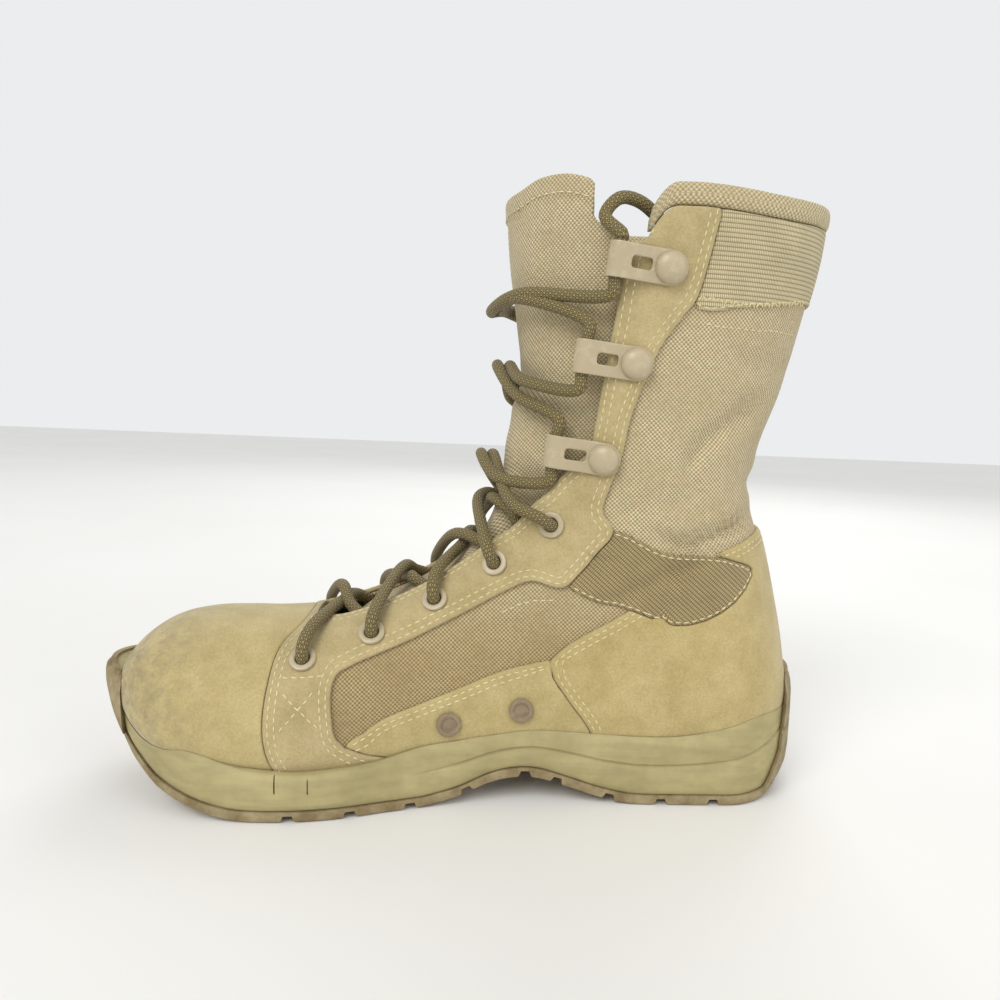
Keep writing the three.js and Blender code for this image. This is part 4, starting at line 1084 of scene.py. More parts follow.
# A closed tube from rings of points, with its cloth coordinates in millimetres
def closedTube(name, rings, materials, around=None):
    count, n = rings.shape[:2]
    points = rings.reshape(-1, 3)
    reach = np.concatenate([[0], np.cumsum(np.linalg.norm(np.diff(rings.mean(1), axis=0), axis=1))])
    loop = np.linalg.norm(np.roll(rings, -1, 1) - rings, axis=-1).mean(0)
    loop = np.concatenate([[0], np.cumsum(loop)])
    if around:
        loop *= around / loop[-1]
    quads = np.stack(ringCells(count, n), 1)
    i, j = quads[:, 0] // n, quads[:, 0] % n
    quadUv = np.stack([
        np.stack([reach[i], loop[j]], 1),
        np.stack([reach[i], loop[j + 1]], 1),
        np.stack([reach[i + 1], loop[j + 1]], 1),
        np.stack([reach[i + 1], loop[j]], 1),
    ], 1)
    triangles = np.concatenate([quads[:, [0, 1, 2]], quads[:, [0, 2, 3]]])
    uv = np.concatenate([quadUv[:, [0, 1, 2]], quadUv[:, [0, 2, 3]]])
    centres = np.stack([rings[0].mean(0), rings[-1].mean(0)])
    first, last = len(points), len(points) + 1
    steps = np.arange(n)
    nextStep = (steps + 1) % n
    caps = np.concatenate([
        np.stack([np.full(n, first), nextStep, steps], 1),
        np.stack([np.full(n, last), (count - 1) * n + steps, (count - 1) * n + nextStep], 1),
    ])
    capUv = np.zeros((len(caps), 3, 2))
    capUv[:, :, 1] = np.stack([loop[steps], loop[steps + 1], loop[steps]], 1)[np.tile(steps, 2)]
    faces = np.concatenate([triangles, caps])
    points = np.concatenate([points, centres])
    if insideOut(points, faces):
        faces = faces[:, ::-1]
        uv, capUv = uv[:, ::-1], capUv[:, ::-1]
    made = meshObject(name, points, faces, materials)
    layer = made.data.uv_layers.new(name="cloth")
    layer.data.foreach_set("uv", np.concatenate([uv, capUv]).ravel())
    return made


finishPiece(makeBinding(), "webbing", "collar_binding")


# Tongue: a padded sheet under the throat. Its sides lie deeper where the lace runs under the eyestays.
tongue = {
    "thick": 2.4,
    "middle": -1.7,  # heights over the last, in the middle, at the sides, and at the sides higher up
    "sides": -8.4,
    "top": -2.7,
    "lacedTo": 14.6,  # the section where the sides rise again
    "folds": ((16.2, 0.8, 1.6), (18.0, 0.5, -1.4)),  # section, width and rise of each fold
    "cleft": (-0.12, 5.0, -1.6),  # turn, width and rise of the cleft at the top
    "row": 6.8,  # how far the stitches are below the top edge
    "firstStitch": 2.0,
    "bound": 8.0,  # how far the bound edge reaches down, and how proud it stands
    "boundRise": 0.7,
    "edge": 1.1,
}


def tongueHalf(section):
    narrowed = 0.085 * np.clip((section - 21.8) / 1.2, 0, 1)
    return throatHalf(np.minimum(section, 22)) + 0.05 - narrowed


def belowTop(points):
    return np.interp(points[..., 0], tongueTop[:, 0], tongueTop[:, 1]) - points[..., 2]


def tongueHeight(section, turn):
    outwards = np.clip(np.abs(turn) / np.maximum(throatHalf(section), 0.045) - 0.35, 0, 0.65) / 0.65
    outwards = outwards**2 * (3 - 2 * outwards)
    laced = np.clip((tongue["lacedTo"] - section) / 1.4, 0, 1)
    side = tongue["top"] + (tongue["sides"] - tongue["top"]) * laced
    middle = tongue["middle"] + (tongue["sides"] - tongue["middle"]) * np.clip(8.1 - section, 0, 1)
    fold = sum(rise * np.exp(-(((section - at) / wide) ** 2)) for at, wide, rise in tongue["folds"])
    at, wide, rise = tongue["cleft"]
    cleft = rise * np.exp(-(((np.abs(turn - at) - 0.01) * girth(section) / wide) ** 2))
    cleft *= np.clip((section - 20.2) / 1, 0, 1) * np.clip((23 - section) / 0.8, 0, 1)
    creased = (fold + cleft) * (1 - outwards) * np.clip(section - 14, 0, 1)
    bound = tongue["boundRise"] * np.clip(tongue["bound"] - belowTop(lastPoint(section, turn)), 0, 1)
    return middle + (side - middle) * outwards + creased + bound


def onTongue(section, turn, height):
    return onLast(section, turn, tongueHeight(section, turn) + height)


def makeTongue():
    points, faces = chart(np.linspace(6.3, 25, 230), np.linspace(-0.27, 0.27, 120))
    section, turn = points.T
    top = belowTop(lastPoint(section, turn))
    beside = (tongueHalf(section) - np.abs(turn)) * girth(section)
    field = np.minimum(np.minimum(beside, top), (section - 6.35) * sectionLength)
    made = cutSheet(
        "padded_tongue", points, faces, field, onTongue, -tongue["thick"], 0, tongue["edge"],
        [quarterNylon, liningKnit], both=True, uvOf=clothUv,
    )

    def keep(s, t, p):
        return (tongueHalf(s) - np.abs(t)) * girth(s) > 2.5

    sewRows(points, faces, top, (tongue["row"],), 0.0, keep, onTongue, tongue["firstStitch"])
    finishPiece(made, "nylon", "tongue")


makeTongue()
print("upper made")


# Sole
sole = {
    "toeRound": 0.17,  # shares of the length over which the two ends are rounded
    "heelRound": 0.12,
    "around": 200,
    "outsole": 4.4,
    "rimInset": 2.2,
    "groove": 1.0,  # the depth of the line round the midsole's heel half
    "lineFrom": -0.06,
    "lineRamp": 0.06,
    "wrap": 1.8,
    "lugDepth": 3.0,
    "lugGap": 4.6,
    "foreLugs": -0.222,  # the forefoot's second groove and the heel's first, as shares of the length
    "heelLugs": 0.136,
    "forePitch": 23.0,
    "heelPitch": 22.0,
}


def soleEdge(angle):
    x = -0.5 * np.cos(angle)
    middle, inner, outer, _, _ = tableAt(soleTable, x)
    toe = 1 - (1 - np.clip((x + 0.5) / sole["toeRound"], 0, 1)) ** 2
    heel = 1 - (1 - np.clip((0.5 - x) / sole["heelRound"], 0, 1)) ** 2
    side = np.where(np.sin(angle) >= 0, outer, -inner)
    y = boot["ballWidth"] * (middle + side * np.sqrt(toe * heel)) + boot["sideShift"]
    return np.stack([boot["length"] * x, y], -1)


soleAngles = (np.arange(sole["around"]) + 0.5) / sole["around"] * 2 * pi
soleLine = soleEdge(soleAngles)
soleWay = soleEdge(soleAngles + 0.01) - soleEdge(soleAngles - 0.01)
soleWay /= np.linalg.norm(soleWay, axis=1, keepdims=True)
soleRim = rimHeight(soleLine[:, 0])
soleTread = boot["height"] * np.maximum(0, tableAt(soleTable, soleLine[:, 0] / boot["length"])[4])


def soleRing(grow, height):
    out = np.stack([-soleWay[:, 1], soleWay[:, 0]], 1)
    flatPlace = soleLine + out * np.broadcast_to(grow, len(soleLine))[:, None]
    return np.concatenate([flatPlace, np.broadcast_to(height, len(soleLine))[:, None]], 1)


# A closed solid from rings, each end closed by a ladder of triangles
def ringSolid(name, rings):
    rings = np.array(rings)
    count, n = rings.shape[:2]
    p, q, r, s = ringCells(count, n)
    faces = [np.stack([p, q, s], 1), np.stack([q, r, s], 1)]
    top = (count - 1) * n
    for a in range(n // 2 - 1):
        b, c, d = a + 1, n - 2 - a, n - 1 - a
        for corners in ((a, d, b), (b, d, c)):
            if len(set(corners)) == 3:
                faces.append(np.array([corners]))
                faces.append(np.array([[top + v for v in corners[::-1]]]))
    faces = np.concatenate(faces)
    points = rings.reshape(-1, 3)
    if insideOut(points, faces):
        faces = faces[:, ::-1]
    return meshObject(name, points, faces, [])


def prism(name, outline, scale=sideShare, spread=80.0):
    line = np.array(outline, float) * scale
    near = np.stack([line[:, 0], np.full(len(line), -spread), line[:, 1]], 1)
    far = near * [1, -1, 1]
    n = len(line)
    mesh = bpy.data.meshes.new(name)
    faces = [tuple(range(n)), tuple(range(2 * n - 1, n - 1, -1))]
    faces += [((v + 1) % n, v, n + v, n + (v + 1) % n) for v in range(n)]
    mesh.from_pydata((np.concatenate([near, far]) * metre).tolist(), [], faces)
    made = bpy.data.objects.new(name, mesh)
    bpy.context.scene.collection.objects.link(made)
    rightWay(made)
    return made


def rightWay(piece):
    work = bmesh.new()
    work.from_mesh(piece.data)
    bmesh.ops.recalc_face_normals(work, faces=work.faces)
    bmesh.ops.triangulate(work, faces=work.faces)
    work.to_mesh(piece.data)
    work.free()


# One cut or join, applied to the mesh, after which the tool goes
def carve(piece, tool, operation):
    modifier = piece.modifiers.new("carve", "BOOLEAN")
    modifier.solver = "MANIFOLD"
    modifier.operation = operation
    modifier.object = tool
    bpy.context.view_layer.update()
    made = bpy.data.meshes.new_from_object(piece.evaluated_get(bpy.context.evaluated_depsgraph_get()))
    piece.modifiers.clear()
    old = piece.data
    piece.data = made
    bpy.data.meshes.remove(old)
    if tool.name.startswith("tool_"):
        bpy.data.objects.remove(tool)


def lastForm(name, grow):
    sections = np.concatenate([np.linspace(0, 3, 16), np.linspace(3.2, 24, 96)])
    turns = (np.arange(120) + 0.5) / 120
    return ringSolid(name, [onLast(np.full(120, s), turns, np.full(120, grow)) for s in sections])


def midsoleForm(name, grow, foot, headroom=0):
    bottom = soleTread + foot

    def part(share):
        return bottom + (soleRim - bottom) * share

    ramp = np.clip((soleLine[:, 0] / boot["length"] - sole["lineFrom"]) / sole["lineRamp"], 0, 1)

    def line(drop):
        return part(0.5) + drop * (0.3 + 1.1 * ramp)

    groove, inset = sole["groove"] * ramp, sole["rimInset"]
    rings = [
        soleRing(grow - 1, part(0)),
        soleRing(grow - 0.3, part(0.06)),
        soleRing(grow, part(0.2)),
        soleRing(grow, line(-1)),
        soleRing(grow - 0.3 * groove, line(-0.7)),
        soleRing(grow - 0.9 * groove, line(-0.3)),
        soleRing(grow - groove, line(0)),
        soleRing(grow - 0.9 * groove, line(0.3)),
        soleRing(grow - 0.3 * groove, line(0.7)),
        soleRing(grow, line(1)),
        soleRing(grow - 0.12 * inset, part(0.8)),
        soleRing(grow - 0.36 * inset, part(0.9)),
        soleRing(grow - 0.64 * inset, part(0.96)),
        soleRing(grow - inset, part(1)),
    ]
    if headroom:
        rings.append(soleRing(grow - inset, soleRim + headroom))
    return ringSolid(name, rings)


def dressMesh(piece, material, sharp):
    mesh = piece.data
    mesh.materials.clear()
    mesh.materials.append(material)
    mesh.polygons.foreach_set("material_index", np.zeros(len(mesh.polygons), int))
    mesh.polygons.foreach_set("use_smooth", np.ones(len(mesh.polygons), bool))
    mesh.set_sharp_from_angle(angle=radians(sharp))


seatGrow = 1.85  # how far the upper's seat in the midsole stands off the last
crack = {
    "spots": ((-0.24, 20.5), (-0.198, 20.0)),  # where along the sole, and how high they start
    "half": 0.22,
    "long": 8.5,
    "lean": 0.6,
    "side": -55.5,  # how far out its middle is, and how far it reaches from there
    "deep": 4.6,
}
toeWrap = [
    (-0.452, 0.3), (-0.462, 0.2), (-0.453, 0.1), (-0.425, 0.05), (-0.38, 0), (-0.6, 0), (-0.6, 0.3),
]
heelWrap = [(0.47, 0.3), (0.476, 0.17), (0.468, 0.08), (0.43, 0), (0.6, 0), (0.6, 0.3)]


def makeSole():
    seat = lastForm("seat_form", seatGrow)
    foot = sole["outsole"] + boot["gap"]
    midsole = midsoleForm("foam_midsole", 0, foot)
    carve(midsole, seat, "DIFFERENCE")
    for x, top in crack["spots"]:
        carve(midsole, crackBar(x * boot["length"], top), "DIFFERENCE")
    dressMesh(midsole, foamSkin, 38)
    finishPiece(midsole, "foam", "midsole")

    outsole = ringSolid("rubber_outsole", [
        soleRing(-1.6, soleTread),
        soleRing(-0.5, soleTread + 0.6),
        soleRing(-0.1, soleTread + 1.6),
        soleRing(0, soleTread + sole["outsole"]),
    ])
    for outline in (toeWrap, heelWrap):
        wrap = midsoleForm("tool_wrap", boot["gap"] + sole["wrap"], foot, 1.4)
        carve(wrap, prism("tool_ends", outline), "INTERSECT")
        carve(outsole, wrap, "UNION")
    # room for the midsole, cut in three steps up to the gap
    for grow, lower in ((0, 0.15), (0.15, 0.15), (0.3, 0.3)):
        carve(outsole, midsoleForm("tool_midsole", grow, foot - lower, 4), "DIFFERENCE")
    carve(outsole, seat, "DIFFERENCE")
    for x, low, high in grooves():
        carve(outsole, grooveBar(x, low, high), "DIFFERENCE")
    dressMesh(outsole, treadRubber, 30)
    finishPiece(outsole, "rubber", "outsole")
    bpy.data.objects.remove(seat)


# Grooves between the lugs: where along the sole, and from where to where across it
def grooves():
    forePitch, heelPitch = (sole[key] / boot["length"] for key in ("forePitch", "heelPitch"))
    fore = [sole["foreLugs"] + i * forePitch for i in range(-1, 5)]
    heel = [sole["heelLugs"] + i * heelPitch for i in range(4)]
    bars = []
    for i, x in enumerate(fore + heel):
        bars.append((x, -0.25, 0.25) if i == 0 else (x, -0.7, -0.19))
        bars.append((x + 0.5 * forePitch, -0.14, 0.14))
        bars.append((x - forePitch, -0.2, 0.2) if i == 0 else (x, 0.19, 0.7))
    return bars


# A fine upright crack in the midsole's lip, on the inner side
def crackBar(x, top):
    half, low = crack["half"], top - crack["long"]
    foot = [(x, low), (x + crack["lean"], low - 0.3)]
    bar = prism("tool_crack", [(x - half, top), *foot, (x + half, top)], scale=1.0, spread=1.0)
    place = Matrix.Translation((0, crack["side"] * metre, 0))
    bar.data.transform(place @ Matrix.Diagonal((1, crack["deep"], 1, 1)))
    return bar


def grooveBar(x, low, high):
    ahead, behind = (tableAt(soleTable, x + step)[4] for step in (0.01, -0.01))
    slope = np.arctan2(boot["height"] * (ahead - behind), boot["length"] * 0.02)
    mouth, gap = sole["lugGap"] / 2 + 0.8, sole["lugGap"] / 2 - 0.6
    depth = sole["lugDepth"]
    section = np.array([(-mouth - 1, -depth), (mouth + 1, -depth), (gap, depth), (-gap, depth)])
    turned = section @ np.array([[cos(slope), sin(slope)], [-sin(slope), cos(slope)]])
    tread = boot["height"] * max(0, float(tableAt(soleTable, x)[4]))
    turned += [x * boot["length"], tread]
    bar = prism("tool_groove", turned, scale=1.0, spread=1.0)
    middle, half = (low + high) / 2 * boot["ballWidth"], (high - low) / 2 * boot["ballWidth"]
    bar.data.transform(Matrix.Translation((0, middle * metre, 0)) @ Matrix.Diagonal((1, half, 1, 1)))
    return bar


makeSole()
print("sole made")


# Trims: lathed rings and caps, and hooks bent from strip
def lathed(name, place, sign, profile, material, around=40):
    profile = np.array(profile)
    angles = np.arange(around) / around * 2 * pi
    rings = np.stack([
        profile[:, None, 0] * np.cos(angles), profile[:, None, 0] * np.sin(angles),
        np.broadcast_to(profile[:, None, 1], (len(profile), around)),
    ], -1)
    p, q, r, s = ringCells(*rings.shape[:2])
    faces = np.concatenate([np.stack([p, r, q], 1), np.stack([p, s, r], 1)])
    points = rings.reshape(-1, 3)
    points, faces = welded(points, faces, np.round(points, 4))
    if insideOut(points, faces):
        faces = faces[:, ::-1]
    return meshObject(name, inFrame(place, sign, points), faces, [material], sharp=50)


def arc(x, z, radius, start, end, steps=5):
    angles = np.radians(np.linspace(start, end, steps))
    return [(x + radius * cos(a), z + radius * sin(a)) for a in angles]


vent = {"rim": 5.0, "barrel": 3.7, "depth": 3.0}
hook = {
    "width": 13.0,
    "reach": 20.0,
    "sheet": 1.2,
    "corner": 2.0,
    "curl": 4.0,  # the radius of the rolled end
    "curled": 162,  # how far round it is rolled, in degrees
    "lift": 3.4,
    "slot": (8.5, 4.4),
    "slotCorner": 1.2,
    "cap": 6.0,
    "capHeight": 3.5,
}


def makeEyelet(name, place, sign):
    e = eyelet
    profile = [(e["hole"], -e["depth"]), (e["barrel"], -e["depth"]), (e["barrel"], -0.2), (e["rim"], -0.2)]
    profile += arc(e["rim"] - 0.5, 0.35, 0.5, 0, 90, 4) + arc(e["hole"] + 0.75, 0.15, 0.72, 90, 180, 5)
    profile.append((e["hole"], -e["depth"]))
    return lathed(name, place, sign, profile, paintedBrass)


def makeVent(name, place, sign):
    rim, barrel, depth = vent["rim"], vent["barrel"], vent["depth"]
    profile = [(0, -depth), (barrel, -depth), (barrel, -0.2), (rim, -0.2)]
    profile += arc(rim - 0.45, 0.4, 0.45, 0, 90, 4)
    profile += arc(rim * 0.7, 0.5, 0.35, 90, 180, 4)
    profile += [(rim * 0.6, 0.25), (rim * 0.42, 0.2), (rim * 0.36, 0.45), (rim * 0.2, 0.5), (0, 0.42)]
    return lathed(name, place, sign, profile, ventPaint)


def makeRivet(name, place, sign):
    cap, seat, edge = hook["cap"], hook["sheet"] + 0.1, 0.35
    rise = hook["capHeight"] - edge
    dome = [(cap * cos(a), seat + edge + rise * sin(a)) for a in np.radians(np.linspace(0, 90, 12))]
    return lathed(name, place, sign, [(0, seat), (cap - 0.3, seat)] + dome, paintedBrass, 48)


# The hook's strip in its own frame: how far along it, and how far across
def hookLine(reach):
    tail, bend = -hook["width"] / 2, hook["cap"]
    rise = np.hypot(hook["reach"] - bend, hook["lift"])
    radius = hook["curl"] - hook["sheet"] / 2
    path = np.array([tail, bend, bend + rise, bend + rise + radius * radians(hook["curled"])])
    share = np.clip((reach - path[1]) / rise, 0, 1)
    angle = np.clip((reach - path[2]) / radius, 0, None)
    x = np.where(reach < path[1], reach, bend + share * (hook["reach"] - bend))
    z = np.where(reach < path[1], 0, share**2 * (3 - 2 * share) * hook["lift"]) + hook["sheet"] / 2
    centre = (hook["reach"], hook["lift"] + hook["sheet"] - hook["curl"])
    x = np.where(angle > 0, centre[0] + radius * np.sin(angle), x)
    z = np.where(angle > 0, centre[1] + radius * np.cos(angle), z)
    return x, z, path[-1]


def makeHook(name, place, sign):
    end = hookLine(np.array(0.0))[2]
    half = hook["width"] / 2
    points, faces = chart(np.linspace(-half - 0.4, end + 0.4, 86), np.linspace(-half - 0.4, half + 0.4, 34))
    reach, across = points.T
    field = np.minimum(half - np.abs(across), end - reach)
    field = np.where(reach < 0, np.minimum(field, half - np.hypot(reach, across)), field)
    corner, small = hook["corner"], hook["slotCorner"]
    beyond, beside = reach - end + corner, np.abs(across) - half + corner
    field = np.minimum(field, corner - np.hypot(np.clip(beyond, 0, None), np.clip(beside, 0, None)))
    slotX, slotY = hook["slot"][0] / 2, hook["slot"][1] / 2
    toSlot = np.hypot(
        np.clip(np.abs(reach - hook["cap"] - 1.2 - slotX) - (slotX - small), 0, None),
        np.clip(np.abs(across) - (slotY - small), 0, None),
    )
    field = np.minimum(field, toSlot - small)

    def bent(reach, across, height):
        x, z, _ = hookLine(reach)
        x2, z2, _ = hookLine(reach + 0.05)
        way = np.stack([x2 - x, z2 - z], -1)
        way /= np.linalg.norm(way, axis=-1, keepdims=True)
        spot = np.stack([x - way[..., 1] * height, across, z + way[..., 0] * height], -1)
        return inFrame(place, sign, spot)

    half = hook["sheet"] / 2
    return cutSheet(name, points, faces, field, bent, -half, half, 0.4, [paintedBrass], both=True)


for sideName, sign in sides:
    for i, place in enumerate(eyelets, 1):
        ring = makeEyelet(f"ring_eyelet_{sideName}_{i}", place, sign)
        finishPiece(ring, "painted_metal", f"eyelet_{sideName}_{i}")
    for i, place in enumerate(hooks, 1):
        bent = makeHook(f"bent_hook_{sideName}_{i}", place, sign)
        finishPiece(bent, "painted_metal", f"hook_{sideName}_{i}")
        cap = makeRivet(f"domed_rivet_{sideName}_{i}", place, sign)
        finishPiece(cap, "painted_metal", f"rivet_{sideName}_{i}")
for i, place in enumerate(vents, 1):
    finishPiece(makeVent(f"screened_vent_{i}", place, -1), "painted_metal", f"vent_{i}")
print("trims made")


# Lace: one cord from one tucked end to the other, through every eyelet and behind every hook
lace = {
    "diameter": 5.0,
    "around": 14,
    "step": 1.1,
    "apart": 2.6,  # half the way between two strands where they cross
    "beside": 7.4,  # from the middle of a hook to where the lace comes out of it
    "guide": 5.0,
    "inHook": 0.6,
}
# Each crossing: the sections where a strand leaves, crosses the middle and arrives, and its height
crossings = [
    (6.95, 7.5, 7.8, 5.6),
    (8.35, 8.9, 9.2, 4.4),
    (9.65, 10.3, 10.8, 3.8),
    (11.2, 11.6, 12.1, 3.8),
    (12.7, 13.3, 12.9, 6),
    (17.3, 18.5, 18.2, 5.5),
    (21.1, 20.8, 21.2, 6),
]
laceHoles = eyelets + hooks


def atHook(place, sign, sideways):
    return inFrame(place, sign, (hook["reach"], sideways, lace["inHook"]))


def leaving(i, sign):
    section, turn = laceHoles[i]
    leave, _, _, height = crossings[i]
    if i >= len(eyelets):
        return [
            atHook(laceHoles[i], sign, sign * lace["beside"]),
            atHook(laceHoles[i], sign, sign * (lace["beside"] + lace["guide"])),
            onLast(leave, sign * turn * 0.35, height + 0.4),
        ]
    return [
        onLast(section, sign * turn, -1.5),
        onLast(section, sign * turn, 3.6),
        onLast(section + 0.2 * (leave - section), sign * turn * 0.93, 7.0),
        onLast(leave, sign * turn * 0.7, 6.9),
    ]


def arriving(i, sign):
    section, turn = laceHoles[i + 1]
    _, _, arrive, height = crossings[i]
    if i + 1 >= len(eyelets):
        return [
            onLast(arrive, sign * turn * 0.35, height + 0.2),
            atHook(laceHoles[i + 1], sign, -sign * (lace["beside"] + lace["guide"])),
            atHook(laceHoles[i + 1], sign, -sign * lace["beside"]),
        ]
    half = float(throatHalf(arrive))
    return [
        onLast(arrive - 0.2, sign * half * 0.4, 2.2),
        onLast(arrive, sign * half * 0.82, -2.4),
        onLast(arrive, sign * (half + 0.012), -4.9),
        onLast((arrive + section) / 2, sign * (half + turn) / 2, -5.1),
        onLast(section, sign * turn * 0.98, -5.0),
    ]


# One strand up the throat. It starts on the side whose sign it has, and the outer one lies on top.
def strand(start):
    points = []
    sign = start
    for i, (_, middle, _, height) in enumerate(crossings):
        points += leaving(i, sign)
        points.append(onLast(middle, 0, height + start * lace["apart"]))
        points += arriving(i, -sign)
        sign = -sign
    points.append(atHook(laceHoles[-1], sign, sign * lace["beside"]))
    return points


# A smooth line through points, with steps of one length
def smoothLine(points, step):
    p = np.array(points, float)
    p = np.concatenate([[2 * p[0] - p[1]], p, [2 * p[-1] - p[-2]]])
    knots = np.concatenate([[0], np.cumsum(np.linalg.norm(np.diff(p, axis=0), axis=1) ** 0.5)])
    line = []
    for i in range(1, len(p) - 2):
        t0, t1, t2, t3 = knots[i - 1 : i + 3]
        for t in np.linspace(t1, t2, 24, endpoint=False):
            a1 = (t1 - t) / (t1 - t0) * p[i - 1] + (t - t0) / (t1 - t0) * p[i]
            a2 = (t2 - t) / (t2 - t1) * p[i] + (t - t1) / (t2 - t1) * p[i + 1]
            a3 = (t3 - t) / (t3 - t2) * p[i + 1] + (t - t2) / (t3 - t2) * p[i + 2]
            b1 = (t2 - t) / (t2 - t0) * a1 + (t - t0) / (t2 - t0) * a2
            b2 = (t3 - t) / (t3 - t1) * a2 + (t - t1) / (t3 - t1) * a3
            line.append((t2 - t) / (t2 - t1) * b1 + (t - t1) / (t2 - t1) * b2)
    line.append(p[-2])
    line = np.array(line)
    reach = np.concatenate([[0], np.cumsum(np.linalg.norm(np.diff(line, axis=0), axis=1))])
    stops = np.linspace(0, reach[-1], max(2, int(reach[-1] / step)))
    return np.stack([np.interp(stops, reach, line[:, k]) for k in range(3)], 1), reach[-1]


def tubeAlong(name, points):
    line, length = smoothLine(points, lace["step"])
    way = np.gradient(line, axis=0)
    way /= np.linalg.norm(way, axis=1, keepdims=True)
    side = np.cross(way[0], [0, 0.3, 1])
    side /= np.linalg.norm(side)
    angles = np.arange(lace["around"]) / lace["around"] * 2 * pi
    rings = []
    for spot, ahead in zip(line, way):
        side = side - (side @ ahead) * ahead
        side /= np.linalg.norm(side)
        other = np.cross(ahead, side)
        circle = np.outer(np.cos(angles), side) + np.outer(np.sin(angles), other)
        rings.append(spot + circle * lace["diameter"] / 2)
    made = closedTube(name, np.array(rings), [braid], around=15.7)
    return made, line, length


def makeLace():
    section, turn = eyelets[0]
    bar = [onLast(section, t * turn, -5.0) for t in (-0.98, -0.7, -0.3, 0.0, 0.3, 0.7, 0.98)]
    made, _, length = tubeAlong("running_lace", strand(-1)[::-1] + bar + strand(1))
    finishPiece(made, "lace_cord", *[f"lace_crossing_{i + 1}" for i in range(len(crossings))])
    print("lace between the top hooks, mm", round(length))
    for sideName, sign in sides:
        top = hooks[-1]
        points = [
            atHook(top, sign, sign * lace["beside"]),
            atHook(top, sign, sign * (lace["beside"] + 1.5)),
            onLast(23, sign * 0.178, 0.5),
            onLast(23.35, sign * 0.19, -2.5),
            onLast(23.35, sign * 0.21, -7.5),
            onLast(23.0, sign * 0.236, -10.5),
            onLast(22.5, sign * 0.26, -11),
        ]
        end, line, length = tubeAlong(f"tucked_lace_{sideName}", points)
        finishPiece(end, "lace_cord", f"lace_end_{sideName}")
        print("tucked end, mm", round(length))


makeLace()


# Stitches: Geometry Nodes lay a short rounded stitch on each point
def makeStitches():
    spots, runs, outs = (np.array(rows) for rows in zip(*stitchPoints))
    mesh = bpy.data.meshes.new("seam_stitches")
    mesh.vertices.add(len(spots))
    mesh.vertices.foreach_set("co", (spots * metre).ravel())
    for name, rows in (("run", runs), ("out", outs)):
        attribute = mesh.attributes.new(name, "FLOAT_VECTOR", "POINT")
        attribute.data.foreach_set("vector", rows.ravel())
    piece = bpy.data.objects.new("seam_stitches", mesh)
    bpy.context.scene.collection.objects.link(piece)

    tree = bpy.data.node_groups.new("layStitches", "GeometryNodeTree")
    tree.interface.new_socket("Points", in_out="INPUT", socket_type="NodeSocketGeometry")
    inputs = {}
    for label in ("Length", "Width", "Height"):
        inputs[label] = tree.interface.new_socket(label, in_out="INPUT", socket_type="NodeSocketFloat")
    tree.interface.new_socket("Stitches", in_out="OUTPUT", socket_type="NodeSocketGeometry")
    start = tree.nodes.new("NodeGroupInput")
    bead = node(tree, "GeometryNodeMeshUVSphere", {"Segments": 8, "Rings": 5, "Radius": 0.5})
    size = node(tree, "ShaderNodeCombineXYZ", {k: start.outputs[k + 1] for k in range(3)})
    bead = node(tree, "GeometryNodeTransform", {"Geometry": bead, "Scale": size})
    bead = node(tree, "GeometryNodeSetShadeSmooth", {"Geometry": bead})
    run = node(tree, "GeometryNodeInputNamedAttribute", {0: "run"}, data_type="FLOAT_VECTOR")
    out = node(tree, "GeometryNodeInputNamedAttribute", {0: "out"}, data_type="FLOAT_VECTOR")
    turn = node(
        tree, "FunctionNodeAxesToRotation", {0: run, 1: out}, primary_axis="X", secondary_axis="Z"
    )
    onPoints = {"Points": start.outputs[0], "Instance": bead, "Rotation": turn}
    laid = node(tree, "GeometryNodeInstanceOnPoints", onPoints)
    laid = node(tree, "GeometryNodeRealizeInstances", {"Geometry": laid})
    laid = node(tree, "GeometryNodeSetMaterial", {"Geometry": laid, "Material": thread})
    end = tree.nodes.new("NodeGroupOutput")
    tree.links.new(laid, end.inputs[0])

    modifier = piece.modifiers.new("stitches", "NODES")
    modifier.node_group = tree
    for label, key in (("Length", "length"), ("Width", "width"), ("Height", "height")):
        modifier[inputs[label].identifier] = stitchStyle[key] * metre
    bpy.context.view_layer.update()
    result = bpy.data.meshes.new_from_object(piece.evaluated_get(bpy.context.evaluated_depsgraph_get()))
    piece.modifiers.clear()
    piece.data = result
    finishPiece(piece, "suede")
    print("stitches", len(spots))


makeStitches()


# The insole keeps its own solid
insoleMesh = bpy.data.objects["insole"].data
insoleMesh.materials.clear()
insoleMesh.materials.append(footbedMaterial())


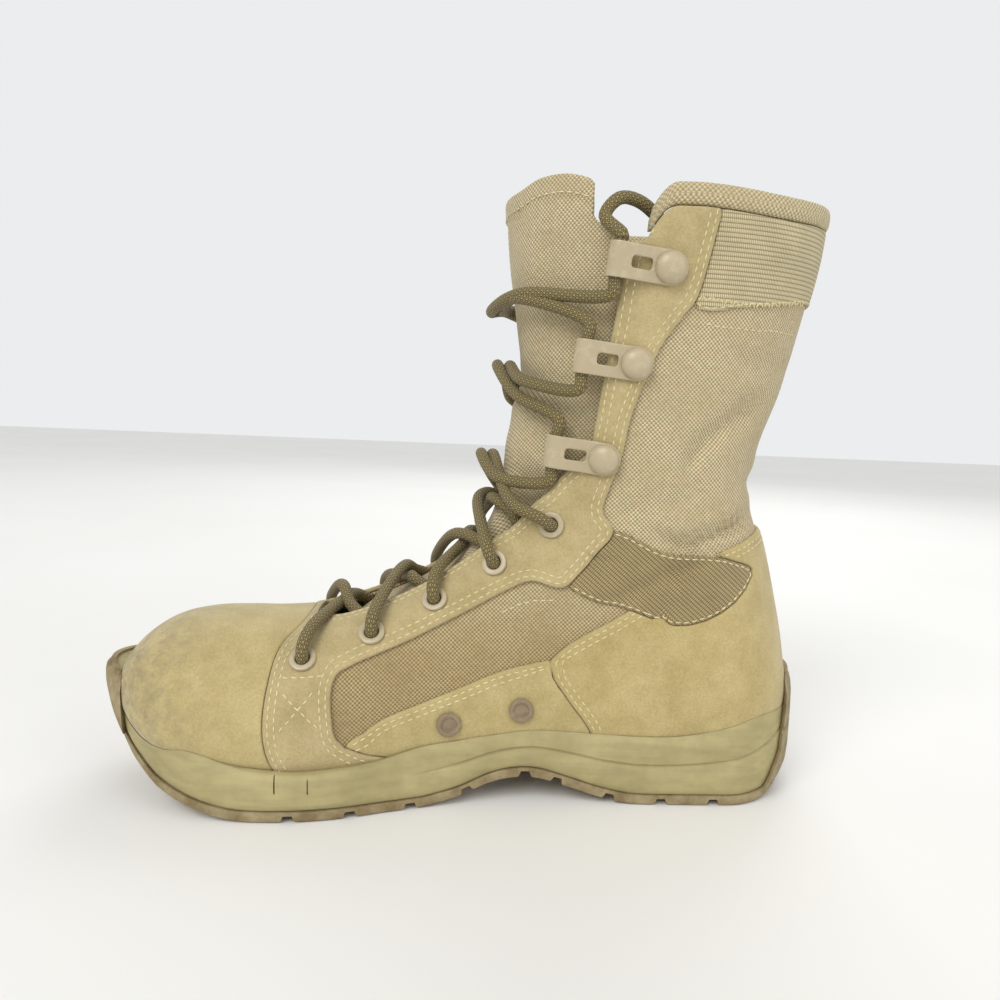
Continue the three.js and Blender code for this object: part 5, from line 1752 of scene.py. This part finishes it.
# Studio: a pale floor, a wide soft sun from the upper left in front, soft lamps, and a pale surround.
# Places and sizes are in metres, and the sun's size is its angle in degrees.
lamps = [
    {"name": "key", "kind": "AREA", "place": (-0.7, -1.1, 1.1), "aim": 0.1, "size": 0.9, "power": 4.0},
    {"name": "fill", "kind": "AREA", "place": (1.1, -0.9, 0.7), "aim": 0.1, "size": 1.1, "power": 5.0},
    {"name": "back", "kind": "AREA", "place": (0.4, 1.2, 1.2), "aim": 0.1, "size": 1.2, "power": 8.0},
    {"name": "sun", "kind": "SUN", "place": (-0.7, -1.1, 1.2), "aim": 0.0, "size": 38, "power": 1.35},
]
surround = {"colour": (0.93, 0.94, 0.95, 1), "lit": 0.62, "seen": 0.9}


def makeStudio():
    mesh = bpy.data.meshes.new("studio_floor")
    reach = 4.0
    corners = [(-reach, -reach, 0), (reach, -reach, 0), (reach, reach, 0), (-reach, reach, 0)]
    mesh.from_pydata(corners, [], [(0, 1, 2, 3)])
    floor = bpy.data.objects.new("studio_floor", mesh)
    mesh.materials.append(floorMaterial())
    bpy.context.scene.collection.objects.link(floor)
    for lamp in lamps:
        data = bpy.data.lights.new(lamp["name"], lamp["kind"])
        data.energy = lamp["power"]
        if lamp["kind"] == "SUN":
            data.angle = radians(lamp["size"])
        else:
            data.size = lamp["size"]
        made = bpy.data.objects.new(lamp["name"], data)
        place = Vector(lamp["place"])
        away = place - Vector((0, 0, lamp["aim"]))
        made.matrix_world = Matrix.Translation(place) @ away.to_track_quat("Z", "Y").to_matrix().to_4x4()
        bpy.context.scene.collection.objects.link(made)
    world = bpy.data.worlds.new("pale_surround")
    world.use_nodes = True
    tree = world.node_tree
    background = tree.nodes["Background"]
    background.inputs[0].default_value = surround["colour"]
    seen = node(tree, "ShaderNodeLightPath", out="Is Camera Ray")
    strength = node(tree, "ShaderNodeMapRange", {0: seen, 3: surround["lit"], 4: surround["seen"]})
    tree.links.new(strength, background.inputs[1])
    bpy.context.scene.world = world
    bpy.context.scene.view_settings.view_transform = "Standard"


makeStudio()
print("studio made")
